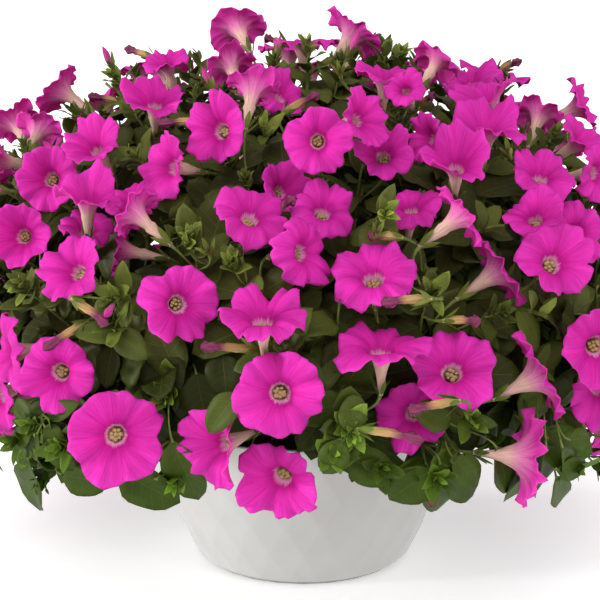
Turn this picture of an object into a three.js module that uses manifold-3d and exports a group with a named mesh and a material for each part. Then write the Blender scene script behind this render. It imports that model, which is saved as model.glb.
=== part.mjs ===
// A petunia in full flower, standing in a white bowl pot with a relief of flat diamonds.
// Units are millimetres, +Z is up, and the origin is the middle of the pot's foot, on the ground.
// The pot and the potting mix are one solid each. Each spray is one leafy stem that stands in its own
// hole in the mix, with its leaves, flower stalks, trumpet flowers and spent flowers fused to it.
import * as THREE from "three";
import Module from "manifold-3d";

// ---- driving dimensions -------------------------------------------------------------------------
const POT_HEIGHT = 135;
const RIM_RADIUS = 138;
const FOOT_RADIUS = 88;
const WALL = 5;
const DIAMONDS_ROUND = 24;
const SOIL_BELOW_RIM = 16;
const CLEARANCE = 0.4; // between solids that rest on each other

const MOUND_RADIUS = 345; // the mound of flowers, at its widest
const MOUND_WAIST = 200; // height of its widest level
const MOUND_ABOVE = 264; // from the waist up to the crown
const MOUND_BELOW = 140; // from the waist down to the lowest flowers
const MOUND_FULLNESS = 2.05; // exponent of its outline: 2 is an ellipse, more is boxier

const FLOWER_ACROSS = 60; // of the flowers that the picture doesn't show
const TRUMPET_DEPTH = 46; // from the face of a flower back to its calyx
const LEAF_LENGTH = 56;
const LEAF_THICKNESS = 0.8;
const STEM_RADIUS = 2.4;
const STALK_RADIUS = 1.5;
const STEM_FOOT_DEPTH = 14; // how deep a stem stands in the mix
const STEMS_WITHIN = 109; // radius in the mix that the stems stand within

// ---- where the picture was taken from ------------------------------------------------------------
// Flowers and shoot tips on the side that the picture shows are placed by the pixel they show at.
const PICTURE_SIDE = 600; // pixels
const LENS_PIXELS = 1529; // focal length in pixels
const EYE = new THREE.Vector3(-3, -1323, 510);
const EYE_PITCH = THREE.MathUtils.degToRad(-11.9);

// Open flowers: pixel x, y of the middle of the face; the way it faces, as degrees round from the
// viewer (minus is left, 180 is away) and degrees up; how many pixels across it is; and how many
// millimetres it sits behind (minus: in front of) the mound's surface, along the line of sight.
const OPEN_FLOWERS = [
  [237, 27, -150, 38, 58, 0],
  [166, 61, -30, 66, 48, 10],
  [228, 62, -150, 42, 54, 40],
  [154, 99, 5, 44, 66, 0],
  [216, 129, -28, 16, 72, -14],
  [60, 90, -104, 35, 58, 0],
  [14, 121, -140, 42, 54, 14],
  [40, 130, 165, 30, 50, 52],
  [93, 145, -24, 36, 60, 0],
  [49, 178, -6, 16, 66, 6],
  [88, 196, 14, 62, 72, -12],
  [166, 166, -46, 12, 70, 4],
  [20, 236, -8, 12, 64, -6],
  [72, 268, -28, 24, 74, -18],
  [86, 226, 10, 56, 58, 34],
  [133, 196, -20, 58, 60, 26],
  [133, 212, -118, 34, 60, 0],
  [120, 250, -94, 10, 60, 24],
  [252, 212, 14, 44, 77, -10],
  [284, 188, 30, 30, 58, 36],
  [325, 207, 14, 36, 70, 8],
  [309, 252, 36, 10, 74, -6],
  [180, 304, 18, 12, 80, -6],
  [262, 313, 0, 54, 84, -4],
  [253, 88, 168, 50, 56, 0],
  [284, 92, 40, 40, 56, 40],
  [354, 33, 118, 48, 66, 0],
  [384, 74, 0, 72, 62, 14],
  [404, 86, -20, 36, 42, -6],
  [364, 118, 44, 16, 64, -20],
  [318, 141, 0, 8, 67, 0],
  [383, 152, 0, 8, 64, 10],
  [425, 138, -55, 10, 54, 16],
  [456, 162, -8, 40, 72, 0],
  [487, 127, 5, 62, 74, 12],
  [543, 172, 10, 46, 67, 0],
  [582, 106, 76, 25, 60, 0],
  [583, 140, 56, 34, 58, 24],
  [487, 97, -62, 60, 66, 22],
  [471, 77, -46, 68, 63, 26],
  [440, 58, 140, 40, 50, 0],
  [412, 203, 0, 46, 64, 14],
  [463, 214, 96, 34, 70, -14],
  [534, 214, -20, 46, 60, 30],
  [577, 232, 6, 16, 66, 8],
  [556, 260, -14, 26, 80, -16],
  [373, 272, -8, 40, 86, -8],
  [500, 270, 86, 34, 84, -12],
  [57, 373, -8, 10, 79, 0],
  [4, 354, -62, -4, 86, -8],
  [115, 437, 4, 9, 96, -18],
  [280, 395, 0, 8, 92, -18],
  [217, 447, -28, -10, 84, 6],
  [278, 482, -16, -15, 88, -6],
  [382, 343, 4, 74, 95, -14],
  [453, 368, 0, 26, 90, -16],
  [541, 375, 80, 30, 96, 4],
  [526, 457, 80, -8, 98, 0],
  [412, 416, -12, 4, 74, 16],
  [600, 348, 12, 4, 86, 0],
  [604, 392, 18, -12, 80, 22],
  [601, 172, 42, 10, 62, 10],
  [-4, 160, -60, 12, 62, 0],
  [541, 113, 150, 44, 56, 40],
  [-6, 398, -42, -10, 80, 18],
];

// Spent flowers: pixel x, y of the shrivelled end; the way they point; length; and depth as above.
const SPENT_FLOWERS = [
  [158, 118, -80, 6, 36, 6],
  [296, 192, 55, 40, 34, -6],
  [320, 88, 70, 34, 36, -10],
  [376, 92, -20, 60, 36, -24],
  [434, 90, 20, 30, 30, -10],
  [368, 232, -70, 12, 26, -10],
  [381, 297, -80, 4, 34, -22],
  [108, 320, 70, -25, 30, -20],
  [43, 344, -60, -20, 36, -22],
  [200, 340, -75, 14, 40, -20],
  [408, 405, -75, 0, 36, -34],
  [424, 433, 80, 0, 44, -34],
  [431, 503, -30, -62, 28, -14],
  [481, 317, 80, 8, 26, -14],
  [264, 34, -70, 25, 24, 0],
];

// Large low leaves: pixel x, y of the blade's base, then of its tip, pixels wide, and depth as above.
const LARGE_LEAVES = [
  [28, 458, 32, 518, 40, 0],
  [60, 474, 108, 486, 36, 6],
  [118, 470, 181, 508, 46, 6],
  [172, 440, 198, 507, 42, 12],
  [48, 436, 72, 474, 28, -6],
  [46, 418, 78, 402, 20, -8],
  [238, 392, 205, 434, 30, -14],
  [344, 440, 322, 476, 30, -16],
  [350, 434, 356, 392, 28, -16],
  [342, 456, 400, 480, 38, 6],
  [432, 468, 388, 504, 42, 0],
  [440, 462, 442, 519, 44, -4],
  [448, 470, 478, 500, 38, 10],
  [452, 456, 483, 489, 32, 0],
  [452, 424, 414, 406, 32, 0],
  [496, 446, 514, 498, 32, 8],
  [540, 506, 500, 518, 26, 8],
  [546, 446, 546, 505, 46, 0],
  [540, 452, 584, 446, 42, 12],
  [556, 470, 592, 466, 28, -8],
  [142, 350, 186, 384, 44, 30],
  [330, 320, 356, 366, 34, 30],
  [606, 296, 590, 344, 30, 30],
];

// Shoot tips: pixel x, y of the leafy tip, and how far behind the mound's surface it sits.
const SHOOT_TIPS = [
  [112, 74, 0],
  [128, 152, 24],
  [262, 126, 4],
  [184, 246, -10],
  [386, 214, -6],
  [440, 300, -6],
  [352, 432, -14],
  [470, 410, -10],
  [34, 424, -6],
  [112, 300, -4],
  [574, 466, 10],
  [512, 150, 14],
  [308, 42, 0],
  [404, 50, 10],
  [506, 226, 14],
  [20, 286, 0],
  [548, 318, 6],
  [166, 396, 34],
  [286, 336, 14],
  [176, 480, 20],
  [16, 190, 14],
];

// Where the picture shows nothing, flowers and tips follow a golden-angle spiral round the mound.
const SPIRAL_TIPS = 40;
const SPIRAL_FLOWERS = 152;
const LOWEST_TIP = THREE.MathUtils.degToRad(118); // from straight up
const LOWEST_FLOWER = THREE.MathUtils.degToRad(116);
const GOLDEN_ANGLE = Math.PI * (3 - Math.sqrt(5));
const TIP_SPACING = 90;
const FLOWER_SPACING = 57;
const FLOWER_TO_TIP = 24;
const FLOWER_GAP = 11; // least distance between the test points of two flowers
const SETTLE_STEP = 5;
const SETTLE_REACH = 60;
const LOW_LEAVES_ROUND = 30; // large leaves hang all round; the picture's own replace those it shows
const GRAZING = -0.2; // how squarely the picture shows a surface, at the least that was read from it
const PICTURE_EDGE = 14; // pixels outside the picture where the spiral takes over again

// ---- small helpers -------------------------------------------------------------------------------
const V = (x, y, z) => new THREE.Vector3(x, y, z);
const UP = V(0, 0, 1);
const rad = THREE.MathUtils.degToRad;

// A repeatable stream of numbers from 0 to 1.
function stream(seed) {
  let state = seed >>> 0;
  return () => {
    state = (Math.imul(state, 1664525) + 1013904223) >>> 0;
    return state / 4294967296;
  };
}

// The unit vector that points `round` degrees round from the viewer and `up` degrees above level.
function heading(round, up) {
  const level = Math.cos(rad(up));
  return V(Math.sin(rad(round)) * level, -Math.cos(rad(round)) * level, Math.sin(rad(up)));
}

// ---- the mound -----------------------------------------------------------------------------------
// Below 0 inside the mound, 0 on its surface and above 0 outside.
function outside(p) {
  const tall = p.z > MOUND_WAIST ? MOUND_ABOVE : MOUND_BELOW;
  const across = Math.hypot(p.x, p.y) / MOUND_RADIUS;
  const upright = Math.abs(p.z - MOUND_WAIST) / tall;
  return across ** MOUND_FULLNESS + upright ** MOUND_FULLNESS - 1;
}

// The point of the surface in a direction seen from the middle of the waist.
function surfacePoint(round, fromTop) {
  const level = Math.sin(fromTop);
  const rise = Math.cos(fromTop);
  const tall = rise > 0 ? MOUND_ABOVE : MOUND_BELOW;
  const sum = (level / MOUND_RADIUS) ** MOUND_FULLNESS + (Math.abs(rise) / tall) ** MOUND_FULLNESS;
  const reach = sum ** (-1 / MOUND_FULLNESS);
  return V(Math.sin(round) * level, -Math.cos(round) * level, rise)
    .multiplyScalar(reach)
    .add(V(0, 0, MOUND_WAIST));
}

// The way out of the mound at a point near its surface.
function outward(p) {
  const e = 1;
  const here = outside(p);
  const dx = outside(V(p.x + e, p.y, p.z)) - here;
  const dy = outside(V(p.x, p.y + e, p.z)) - here;
  const dz = outside(V(p.x, p.y, p.z + e)) - here;
  return V(dx, dy, dz).normalize();
}

// ---- between the picture and the mound -----------------------------------------------------------
const AHEAD = V(0, Math.cos(EYE_PITCH), Math.sin(EYE_PITCH));
const SKYWARD = V(0, -Math.sin(EYE_PITCH), Math.cos(EYE_PITCH));

function sightLine(x, y) {
  const right = (x - PICTURE_SIDE / 2) / LENS_PIXELS;
  const high = (PICTURE_SIDE / 2 - y) / LENS_PIXELS;
  return V(right, 0, 0).addScaledVector(SKYWARD, high).add(AHEAD).normalize();
}

// The pixel x, y that a point shows at.
function pixelOf(p) {
  const d = p.clone().sub(EYE);
  const depth = d.dot(AHEAD);
  const x = PICTURE_SIDE / 2 + (LENS_PIXELS * d.x) / depth;
  const y = PICTURE_SIDE / 2 - (LENS_PIXELS * d.dot(SKYWARD)) / depth;
  return [x, y];
}

// The nearest point of the mound on a pixel's line of sight or, off its edge, the point that comes
// closest to it, moved back by `deeper`.
function seenPoint(x, y, deeper) {
  const line = sightLine(x, y);
  const step = 2;
  let best = null;
  let least = Infinity;
  for (let far = 850; far < 1700; far += step) {
    const p = EYE.clone().addScaledVector(line, far);
    const value = outside(p);
    if (value < least) {
      least = value;
      best = far;
    }
    if (value < 0) break;
  }
  return EYE.clone().addScaledVector(line, best + deeper);
}

// True where the picture doesn't show the mound: past its edges, on the far side, and on the crown,
// which it shows at a grazing angle.
function unseen(p) {
  const [x] = pixelOf(p);
  if (x < -PICTURE_EDGE || x > PICTURE_SIDE + PICTURE_EDGE) return true;
  const out = outward(p);
  return out.z < 0 ? p.y > 0 : out.dot(p.clone().sub(EYE).normalize()) > GRAZING;
}

// Points spread evenly over the mound, down to an angle from straight up.
function spiral(count, lowest) {
  const points = [];
  for (let k = 0; k < count; k++) {
    const rise = 1 - ((k + 0.5) / count) * (1 - Math.cos(lowest));
    points.push(surfacePoint(k * GOLDEN_ANGLE, Math.acos(rise)));
  }
  return points;
}

const clearOf = (p, others, space) => others.every((o) => o.distanceTo(p) > space);

// ---- the plant's layout --------------------------------------------------------------------------
function layTips() {
  const tips = SHOOT_TIPS.map(([x, y, deeper]) => seenPoint(x, y, deeper));
  for (const p of spiral(SPIRAL_TIPS, LOWEST_TIP)) {
    if (unseen(p) && clearOf(p, tips, TIP_SPACING)) tips.push(p);
  }
  return tips;
}

// Points all over a flower, to test that it stands clear of its neighbours.
function testPoints(at, faces, across) {
  const turned = new THREE.Quaternion().setFromUnitVectors(UP, faces);
  const points = [];
  for (const [share, count] of [[0.36, 5], [0.68, 10], [1, 16]]) {
    for (let k = 0; k < count; k++) {
      const turn = (2 * Math.PI * k) / count;
      const r = (share * across) / 2;
      points.push(V(Math.cos(turn) * r, Math.sin(turn) * r, 0).applyQuaternion(turned).add(at));
    }
  }
  for (const deep of [0.25, 0.5, 0.75, 1]) {
    points.push(at.clone().addScaledVector(faces, -deep * TRUMPET_DEPTH));
  }
  return points;
}

const apart = (some, others) => some.every((p) => others.every((q) => p.distanceTo(q) > FLOWER_GAP));

// Moves a flower along `way`, by as little as will clear the ones placed before it.
function settle(flower, way, placed) {
  const near = placed.filter((o) => o.at.distanceTo(flower.at) < 2.5 * FLOWER_ACROSS);
  for (let k = 0; k * SETTLE_STEP <= SETTLE_REACH; k++) {
    for (const sign of k ? [1, -1] : [1]) {
      const at = flower.at.clone().addScaledVector(way, sign * k * SETTLE_STEP);
      const points = testPoints(at, flower.faces, flower.across);
      if (near.every((o) => apart(points, o.points))) return { ...flower, at, points };
    }
  }
  return null;
}

function layFlowers(tips) {
  const flowers = [];
  for (const [x, y, round, up, wide, deeper] of OPEN_FLOWERS) {
    const at = seenPoint(x, y, deeper);
    const across = (wide * at.clone().sub(EYE).dot(AHEAD)) / LENS_PIXELS;
    const flower = { at, faces: heading(round, up), across };
    const settled = settle(flower, sightLine(x, y), flowers);
    if (settled) flowers.push(settled);
  }
  const draw = stream(11);
  for (const p of spiral(SPIRAL_FLOWERS, LOWEST_FLOWER)) {
    const [turn, lift, size, deep] = [draw(), draw(), draw(), draw()];
    const placed = flowers.map((f) => f.at);
    const free = clearOf(p, placed, FLOWER_SPACING) && clearOf(p, tips, FLOWER_TO_TIP);
    if (!free || !unseen(p)) continue;
    const out = outward(p);
    const faces = out.clone().applyAxisAngle(UP, (turn - 0.5) * 1.1);
    faces.z += (lift - 0.25) * 0.8;
    const at = p.clone().addScaledVector(out, -4 - 16 * deep);
    const flower = { at, faces: faces.normalize(), across: (0.88 + 0.18 * size) * FLOWER_ACROSS };
    const settled = settle(flower, out.negate(), flowers);
    if (settled) flowers.push(settled);
  }
  return flowers;
}

function laySpent() {
  return SPENT_FLOWERS.map(([x, y, round, up, length, deeper]) => {
    const [at, faces] = [seenPoint(x, y, deeper), heading(round, up)];
    return { at, faces, length, base: at.clone().addScaledVector(faces, -length) };
  });
}

// A stem rises from the mix, further from its middle the lower its tip, and arches out to its tip.
function stemCurve(tip) {
  const across = Math.hypot(tip.x, tip.y);
  const out = V(tip.x / across, tip.y / across, 0);
  const fromTop = Math.atan2(across, tip.z - MOUND_WAIST);
  const spread = (STEMS_WITHIN * fromTop) / LOWEST_TIP;
  const foot = out.clone().multiplyScalar(spread).setZ(POT_HEIGHT - SOIL_BELOW_RIM);
  const first = foot.clone().addScaledVector(UP, 60 + 70 * Math.sin(fromTop));
  const last = tip.clone().addScaledVector(out, -55 * Math.sin(fromTop));
  last.addScaledVector(UP, 26 - 70 * Math.cos(fromTop));
  return new THREE.CubicBezierCurve3(foot, first, last, tip);
}

// Large leaves, as their root, tip and width: the picture's own, and a rule's where it shows nothing.
function layLargeLeaves() {
  const leaves = LARGE_LEAVES.map(([x0, y0, x1, y1, wide, deeper]) => {
    const [root, tip] = [seenPoint(x0, y0, deeper), seenPoint(x1, y1, deeper)];
    const width = (wide * root.clone().sub(EYE).dot(AHEAD)) / LENS_PIXELS;
    return { root, tip, width };
  });
  const draw = stream(29);
  for (let k = 0; k < LOW_LEAVES_ROUND; k++) {
    const [turn, drop, size] = [draw(), draw(), draw()];
    const round = (2 * Math.PI * (k + 0.6 * turn)) / LOW_LEAVES_ROUND;
    const root = surfacePoint(round, rad(98 + 12 * drop));
    if (!unseen(root)) continue;
    const way = outward(root).add(V(0, 0, -0.3 - drop)).normalize();
    root.addScaledVector(way, -12);
    const tip = root.clone().addScaledVector(way, (0.85 + 0.25 * size) * LEAF_LENGTH);
    leaves.push({ root, tip, width: 0.72 * LEAF_LENGTH });
  }
  return leaves.map(({ root, tip, width }) => {
    const along = tip.clone().sub(root).normalize();
    const normal = outward(root).add(V(0, 0, 0.35)).normalize();
    return { root, along, normal, length: tip.distanceTo(root), width, droop: 0.08 };
  });
}

// ---- meshes and solids ---------------------------------------------------------------------------
const wasm = await Module();
wasm.setup();

// A mesh here is { points, faces }, closed and facing outwards. A solid is what manifold makes of it.
function solidOf({ points, faces }) {
  const vertProperties = new Float32Array(points.flatMap((p) => [p.x, p.y, p.z]));
  const triVerts = new Uint32Array(faces.flat());
  const made = new wasm.Manifold(new wasm.Mesh({ numProp: 3, vertProperties, triVerts }));
  if (made.volume() < 0) throw new Error("a solid is inside out");
  return made;
}

// The volume that a solid shares with others.
function shared(made, others) {
  const p = made.boundingBox();
  let sum = 0;
  for (const other of others) {
    const q = other.boundingBox();
    const apart = [0, 1, 2].some((i) => p.min[i] > q.max[i] || q.min[i] > p.max[i]);
    if (!apart) sum += made.intersect(other).volume();
  }
  return sum;
}

function nodeOf(made, name, look) {
  const { numProp, vertProperties, triVerts, numVert } = made.getMesh();
  const positions = new Float32Array(numVert * 3);
  for (let i = 0; i < numVert; i++) {
    positions.set(vertProperties.subarray(i * numProp, i * numProp + 3), i * 3);
  }
  const geometry = new THREE.BufferGeometry();
  geometry.setAttribute("position", new THREE.BufferAttribute(positions, 3));
  geometry.setIndex(new THREE.BufferAttribute(triVerts, 1));
  geometry.computeVertexNormals();
  const mesh = new THREE.Mesh(geometry, new THREE.MeshStandardMaterial({ metalness: 0, ...look }));
  mesh.name = name;
  return mesh;
}

// Three points round `p`, square to `ahead`, the first of them turned by `turn` from `side`.
function triangleAt(p, ahead, side, radius, turn) {
  const first = side.clone().addScaledVector(ahead, -side.dot(ahead)).normalize();
  const other = ahead.clone().cross(first);
  return [0, 1, 2].map((k) => {
    const angle = turn + (2 * Math.PI * k) / 3;
    const point = p.clone().addScaledVector(first, Math.cos(angle) * radius);
    return point.addScaledVector(other, Math.sin(angle) * radius);
  });
}

// The side faces between a triangle of points and the next one along.
function sleeve(near, far) {
  const faces = [];
  for (let k = 0; k < 3; k++) {
    const next = (k + 1) % 3;
    faces.push([near + k, near + next, far + next], [near + k, far + next, far + k]);
  }
  return faces;
}

// A tapering three-sided tube along a list of points. Its last face closes its first triangle.
function tubeMesh(path, radii, turns) {
  const points = [];
  const faces = [];
  let side = null;
  path.forEach((p, i) => {
    const behind = path[Math.max(i - 1, 0)];
    const ahead = path[Math.min(i + 1, path.length - 1)].clone().sub(behind).normalize();
    if (!side) side = Math.abs(ahead.x) < 0.8 ? V(1, 0, 0) : V(0, 1, 0);
    side = side.clone().addScaledVector(ahead, -side.dot(ahead)).normalize();
    points.push(...triangleAt(p, ahead, side, radii[i], turns[i]));
    if (i) faces.push(...sleeve(3 * i - 3, 3 * i));
  });
  const last = points.length - 3;
  faces.push([last, last + 1, last + 2], [0, 2, 1]);
  return { points, faces };
}

// A branch is a mesh that can grow from a triangle: its first three points are that triangle's corners,
// and its last face closes it there. This lengthens one down to `foot` with a three-sided stalk.
function stalked(branch, foot) {
  const turned = [0, 1, 2].map((shift) => [0, 1, 2].map((k) => foot[(k + shift) % 3]));
  const twist = (order) => order.reduce((sum, p, k) => sum + p.distanceTo(branch.points[k]), 0);
  const straightest = turned.reduce((best, order) => (twist(order) < twist(best) ? order : best));
  const faces = branch.faces.slice(0, -1).map((f) => f.map((k) => k + 3));
  return {
    points: [...straightest, ...branch.points],
    faces: [...faces, ...sleeve(0, 3), [0, 2, 1]],
  };
}

// Opens one face of a stem's mesh and joins the branch that starts from its corners there.
function graft(stem, face, branch) {
  const corners = face.map((k) => stem.points[k]);
  const added = stem.points.length - 3;
  const onto = branch.points.map((p, i) => (i < 3 ? face[corners.indexOf(p)] : added + i));
  stem.points.push(...branch.points.slice(3));
  stem.faces = stem.faces.filter((f) => f !== face);
  stem.faces.push(...branch.faces.slice(0, -1).map((f) => f.map((k) => onto[k])));
}

// ---- pot and mix ---------------------------------------------------------------------------------
// The outer wall is a lattice of staggered points, so that its flat diamonds come from straight edges.
const WALL_RINGS = [
  [0, FOOT_RADIUS],
  [8, FOOT_RADIUS + 10.5],
  [34, FOOT_RADIUS + 22],
  [59, FOOT_RADIUS + 30],
  [84, FOOT_RADIUS + 37.5],
  [109, FOOT_RADIUS + 44.5],
  [POT_HEIGHT, RIM_RADIUS],
];
const FLOOR = WALL + 1; // thickness of the pot's bottom
const FLOOR_RADIUS = FOOT_RADIUS - 2; // of the hollow, at its bottom
const BEND = 34; // height where the hollow's wall turns up from its rounded bottom
const SOIL_TOP = POT_HEIGHT - SOIL_BELOW_RIM;

// The radius of the hollow at a height above its bend.
function hollowRadius(z) {
  const low = WALL_RINGS[2][1] - WALL;
  const high = RIM_RADIUS - WALL;
  return low + ((high - low) * (z - BEND)) / (POT_HEIGHT - BEND);
}

// Rings of [radius, height, stagger], closed at both ends. A stagger of 0.5 turns a ring half a step.
function ringStack(rings) {
  const n = DIAMONDS_ROUND;
  const points = rings.flatMap(([radius, z, stagger]) =>
    Array.from({ length: n }, (unused, s) => {
      const turn = (2 * Math.PI * (s + stagger)) / n;
      return V(Math.cos(turn) * radius, Math.sin(turn) * radius, z);
    }),
  );
  const faces = [];
  for (let r = 0; r + 1 < rings.length; r++) {
    const leansBack = rings[r][2] > rings[r + 1][2];
    for (let s = 0; s < n; s++) {
      const next = (s + 1) % n;
      const [a, b, c, d] = [r * n + s, r * n + next, (r + 1) * n + s, (r + 1) * n + next];
      faces.push(...(leansBack ? [[a, b, d], [a, d, c]] : [[a, b, c], [b, d, c]]));
    }
  }
  const foot = points.push(V(0, 0, rings[0][1])) - 1;
  const top = points.push(V(0, 0, rings[rings.length - 1][1])) - 1;
  const last = (rings.length - 1) * n;
  for (let s = 0; s < n; s++) {
    const next = (s + 1) % n;
    faces.push([foot, next, s], [top, last + s, last + next]);
  }
  return solidOf({ points, faces });
}

function buildPot() {
  const body = ringStack(WALL_RINGS.map(([z, radius], k) => [radius, z, k % 2 ? 0.5 : 0]));
  const above = POT_HEIGHT + 1;
  const hollow = [
    [FLOOR_RADIUS, FLOOR, 0],
    [hollowRadius(BEND), BEND, 0],
    [hollowRadius(above), above, 0],
  ];
  return body.subtract(ringStack(hollow));
}

function buildSoil(sprays) {
  const inset = CLEARANCE + 0.2;
  const plug = ringStack([
    [FLOOR_RADIUS - inset, FLOOR + CLEARANCE, 0],
    [hollowRadius(BEND) - inset, BEND, 0],
    [hollowRadius(SOIL_TOP) - inset, SOIL_TOP, 0],
  ]);
  return sprays.map(holeFor).reduce((mix, hole) => mix.subtract(hole), plug);
}

// ---- flowers, spent flowers and leaves -----------------------------------------------------------
const LOBES = 5;
const THROAT = 0.27; // radius of the throat's mouth, as a share of the limb's
const LIMB_THICKNESS = 2.4;

// A ring of points about a flower's axis, `half` a step round, out by r(k) and forward by z(k).
function limbRing(flower, spin, count, half, r, z) {
  const turned = new THREE.Quaternion().setFromUnitVectors(UP, flower.faces);
  return Array.from({ length: count }, (unused, k) => {
    const angle = (2 * Math.PI * (k + half)) / count + spin;
    const point = V(Math.cos(angle) * r(k), Math.sin(angle) * r(k), z(k));
    return point.applyQuaternion(turned).add(flower.at);
  });
}

// The faces between the limb's notched edge and a ring of five points inside it.
function limbFaces(rim, inner) {
  const faces = [];
  for (let k = 0; k < LOBES; k++) {
    const next = (k + 1) % LOBES;
    const [a, b, c] = [2 * k, 2 * k + 1, (2 * k + 2) % (2 * LOBES)].map((i) => rim + i);
    faces.push([a, b, inner + k], [b, c, inner + k], [inner + k, c, inner + next]);
  }
  return faces;
}

const flipped = (faces) => faces.map(([a, b, c]) => [a, c, b]);

// A trumpet: a waved, notched limb of five lobes, a hollow throat, and a tube that narrows to a
// three-sided neck.
function flowerMesh(flower, draw) {
  const R = flower.across / 2;
  const spin = draw() * 2 * Math.PI;
  const ring = (count, half, r, z) => limbRing(flower, spin, count, half, r, z);
  const [neck, rim, mouth, shoulder, heart] = [0, 3, 13, 18, 23];
  const across = ring(1, 0, () => 1, () => 0)[0].sub(flower.at);
  const wave = (k) => (k % 2 ? (draw() - 0.6) * 8 : -1);
  const points = [
    ...triangleAt(flower.base, flower.faces, across, STALK_RADIUS + 1, 0.6),
    ...ring(2 * LOBES, 0, (k) => R * (k % 2 ? 1.06 : 0.92), wave),
    ...ring(LOBES, 0.5, () => THROAT * R, () => -3.5),
    ...ring(LOBES, 0.5, () => THROAT * R + 0.8, () => -3.5 - LIMB_THICKNESS),
    flower.at.clone().addScaledVector(flower.faces, -0.4 * TRUMPET_DEPTH),
  ];
  const faces = [...limbFaces(rim, mouth), ...flipped(limbFaces(rim, shoulder))];
  const corner = [0, 0, 1, 2, 2]; // of the neck, that each point of the shoulder runs to
  for (let k = 0; k < LOBES; k++) {
    const next = (k + 1) % LOBES;
    const [here, there] = [neck + corner[k], neck + corner[next]];
    faces.push([heart, mouth + k, mouth + next], [shoulder + k, here, shoulder + next]);
    if (here !== there) faces.push([shoulder + next, here, there]);
  }
  faces.push([neck, neck + 2, neck + 1]);
  return { points, faces };
}

// A spent flower: a limp tube that ends in a shrivelled club.
function spentMesh(spent) {
  const club = spent.at.clone().addScaledVector(spent.faces, -0.4 * spent.length);
  return tubeMesh([spent.base, club, spent.at], [2.6, 3, 4.4], [0, 0, 0]);
}

// Half a leaf's outline and back, as shares of its length and half its width; then a point of its rib.
const LEAF_OUTLINE = [[0.32, -1], [0.7, -0.74], [1, 0], [0.7, 0.74], [0.32, 1], [0.5, 0]];

// A leaf: a pointed oval blade, folded a little along its rib and arched down to its tip, which grows
// from the three points of `foot`. `growth` thickens and widens it, to test that it stands clear.
function leafMesh({ root, along, normal, length, width, droop }, foot, growth) {
  const side = normal.clone().cross(along).normalize();
  const top = along.clone().cross(side).normalize();
  const [reach, half] = [length + growth, width / 2 + growth];
  const low = foot.reduce((best, p) => (p.dot(top) < best.dot(top) ? p : best));
  const corner = foot.indexOf(low);
  const points = [low, foot[(corner + 1) % 3], foot[(corner + 2) % 3]];
  for (const level of [growth, -LEAF_THICKNESS - growth]) {
    for (const [x, y] of LEAF_OUTLINE) {
      const high = 0.16 * Math.abs(y) * half - droop * x * x * reach + level;
      const point = root.clone().addScaledVector(along, x * reach);
      points.push(point.addScaledVector(side, y * half).addScaledVector(top, high));
    }
  }
  const under = LEAF_OUTLINE.length; // added to a point of the upper face, gives the one below it
  const [left, right, first, last, rib] = [1, 2, 3, 7, 8];
  const faces = [[right, first, rib], [last, left, rib], [left, right, rib]];
  faces.push([first + under, 0, rib + under], [0, last + under, rib + under]);
  for (let p = first; p < last; p++) {
    const q = p + 1;
    faces.push([p, q, rib], [q + under, p + under, rib + under]);
    faces.push([p + under, q + under, q], [p + under, q, p]);
  }
  faces.push([0, first + under, first], [0, first, right]);
  faces.push([last + under, 0, left], [last + under, left, last], [0, 2, 1]);
  return { points, faces };
}

// ---- stems ---------------------------------------------------------------------------------------
// A stem stands upright in the mix and then follows chords of its curve. At each of its nodes a short
// length offers small faces, which the stalks and leaves grow from.
const STEM_START = 0.3;
const STEM_NODES = [0.56, 0.7, 0.83, 0.95];
const NODE_LENGTH = 4;
const STEM_TAPER = [1, 1, 1, 0.95, 0.95, 0.9, 0.9, 0.8, 0.8, 0.7, 0.7, 0.5];
const NODE_TURN = 0.7; // radians from each node to the next, so that their faces point different ways

function stemPath(curve) {
  const foot = curve.getPoint(0);
  const low = foot.clone().setZ(foot.z - STEM_FOOT_DEPTH);
  const half = NODE_LENGTH / 2 / curve.getLength();
  const stations = [STEM_START, ...STEM_NODES.flatMap((t) => [t - half, t + half]), 1];
  return [low, foot.clone().setZ(foot.z + 8), ...stations.map((t) => curve.getPoint(t))];
}

function stemMesh({ curve, number }) {
  const turns = STEM_TAPER.map((share, i) => number + Math.max(0, Math.floor((i - 1) / 2)) * NODE_TURN);
  return tubeMesh(stemPath(curve), STEM_TAPER.map((share) => share * STEM_RADIUS), turns);
}

function holeFor({ curve, number }) {
  const [low, high] = stemPath(curve);
  const across = STEM_RADIUS + 1.2;
  const deeper = low.clone().setZ(low.z - CLEARANCE);
  return solidOf(tubeMesh([deeper, high], [across, across], [number, number]));
}

// The small faces at a stem's nodes.
function stemFaces(stem) {
  return STEM_NODES.flatMap((t, node) => {
    const lower = 3 * (3 + 2 * node);
    const faces = stem.faces.filter((f) => f.every((k) => k >= lower && k < lower + 6));
    return faces.map((face) => {
      const [a, b, c] = face.map((k) => stem.points[k]);
      const out = b.clone().sub(a).cross(c.clone().sub(a)).normalize();
      return { face, t, out, middle: a.clone().add(b).add(c).divideScalar(3) };
    });
  });
}

function plantStems() {
  return layTips().map((tip, k) => {
    const spray = { number: k + 1, tip, curve: stemCurve(tip), branches: [] };
    spray.stem = stemMesh(spray);
    spray.core = solidOf(spray.stem);
    spray.places = stemFaces(spray.stem);
    return spray;
  });
}

// ---- growing -------------------------------------------------------------------------------------
const TOUCH = 1e-3; // cubic millimetres that two solids may seem to share where they only touch
const SCRAP = 0.1; // cubic millimetres
const NEAREST_STEMS = 9;
const NEAREST_FACES = 9;
const LEAST_SQUARE = 0.3;
const LEAVES_PER_STEM = 3;
const LEAF_TRIES = 12;
const LEAF_MARGIN = 0.5; // that a leaf keeps from other sprays
const DRAW_BACK = [0, 6, 12, -6, 18, 24, -12, 30, 36, 42]; // into the mound, till a large leaf is clear

const sprays = plantStems();
const pot = buildPot();
const soil = buildSoil(sprays);

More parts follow.
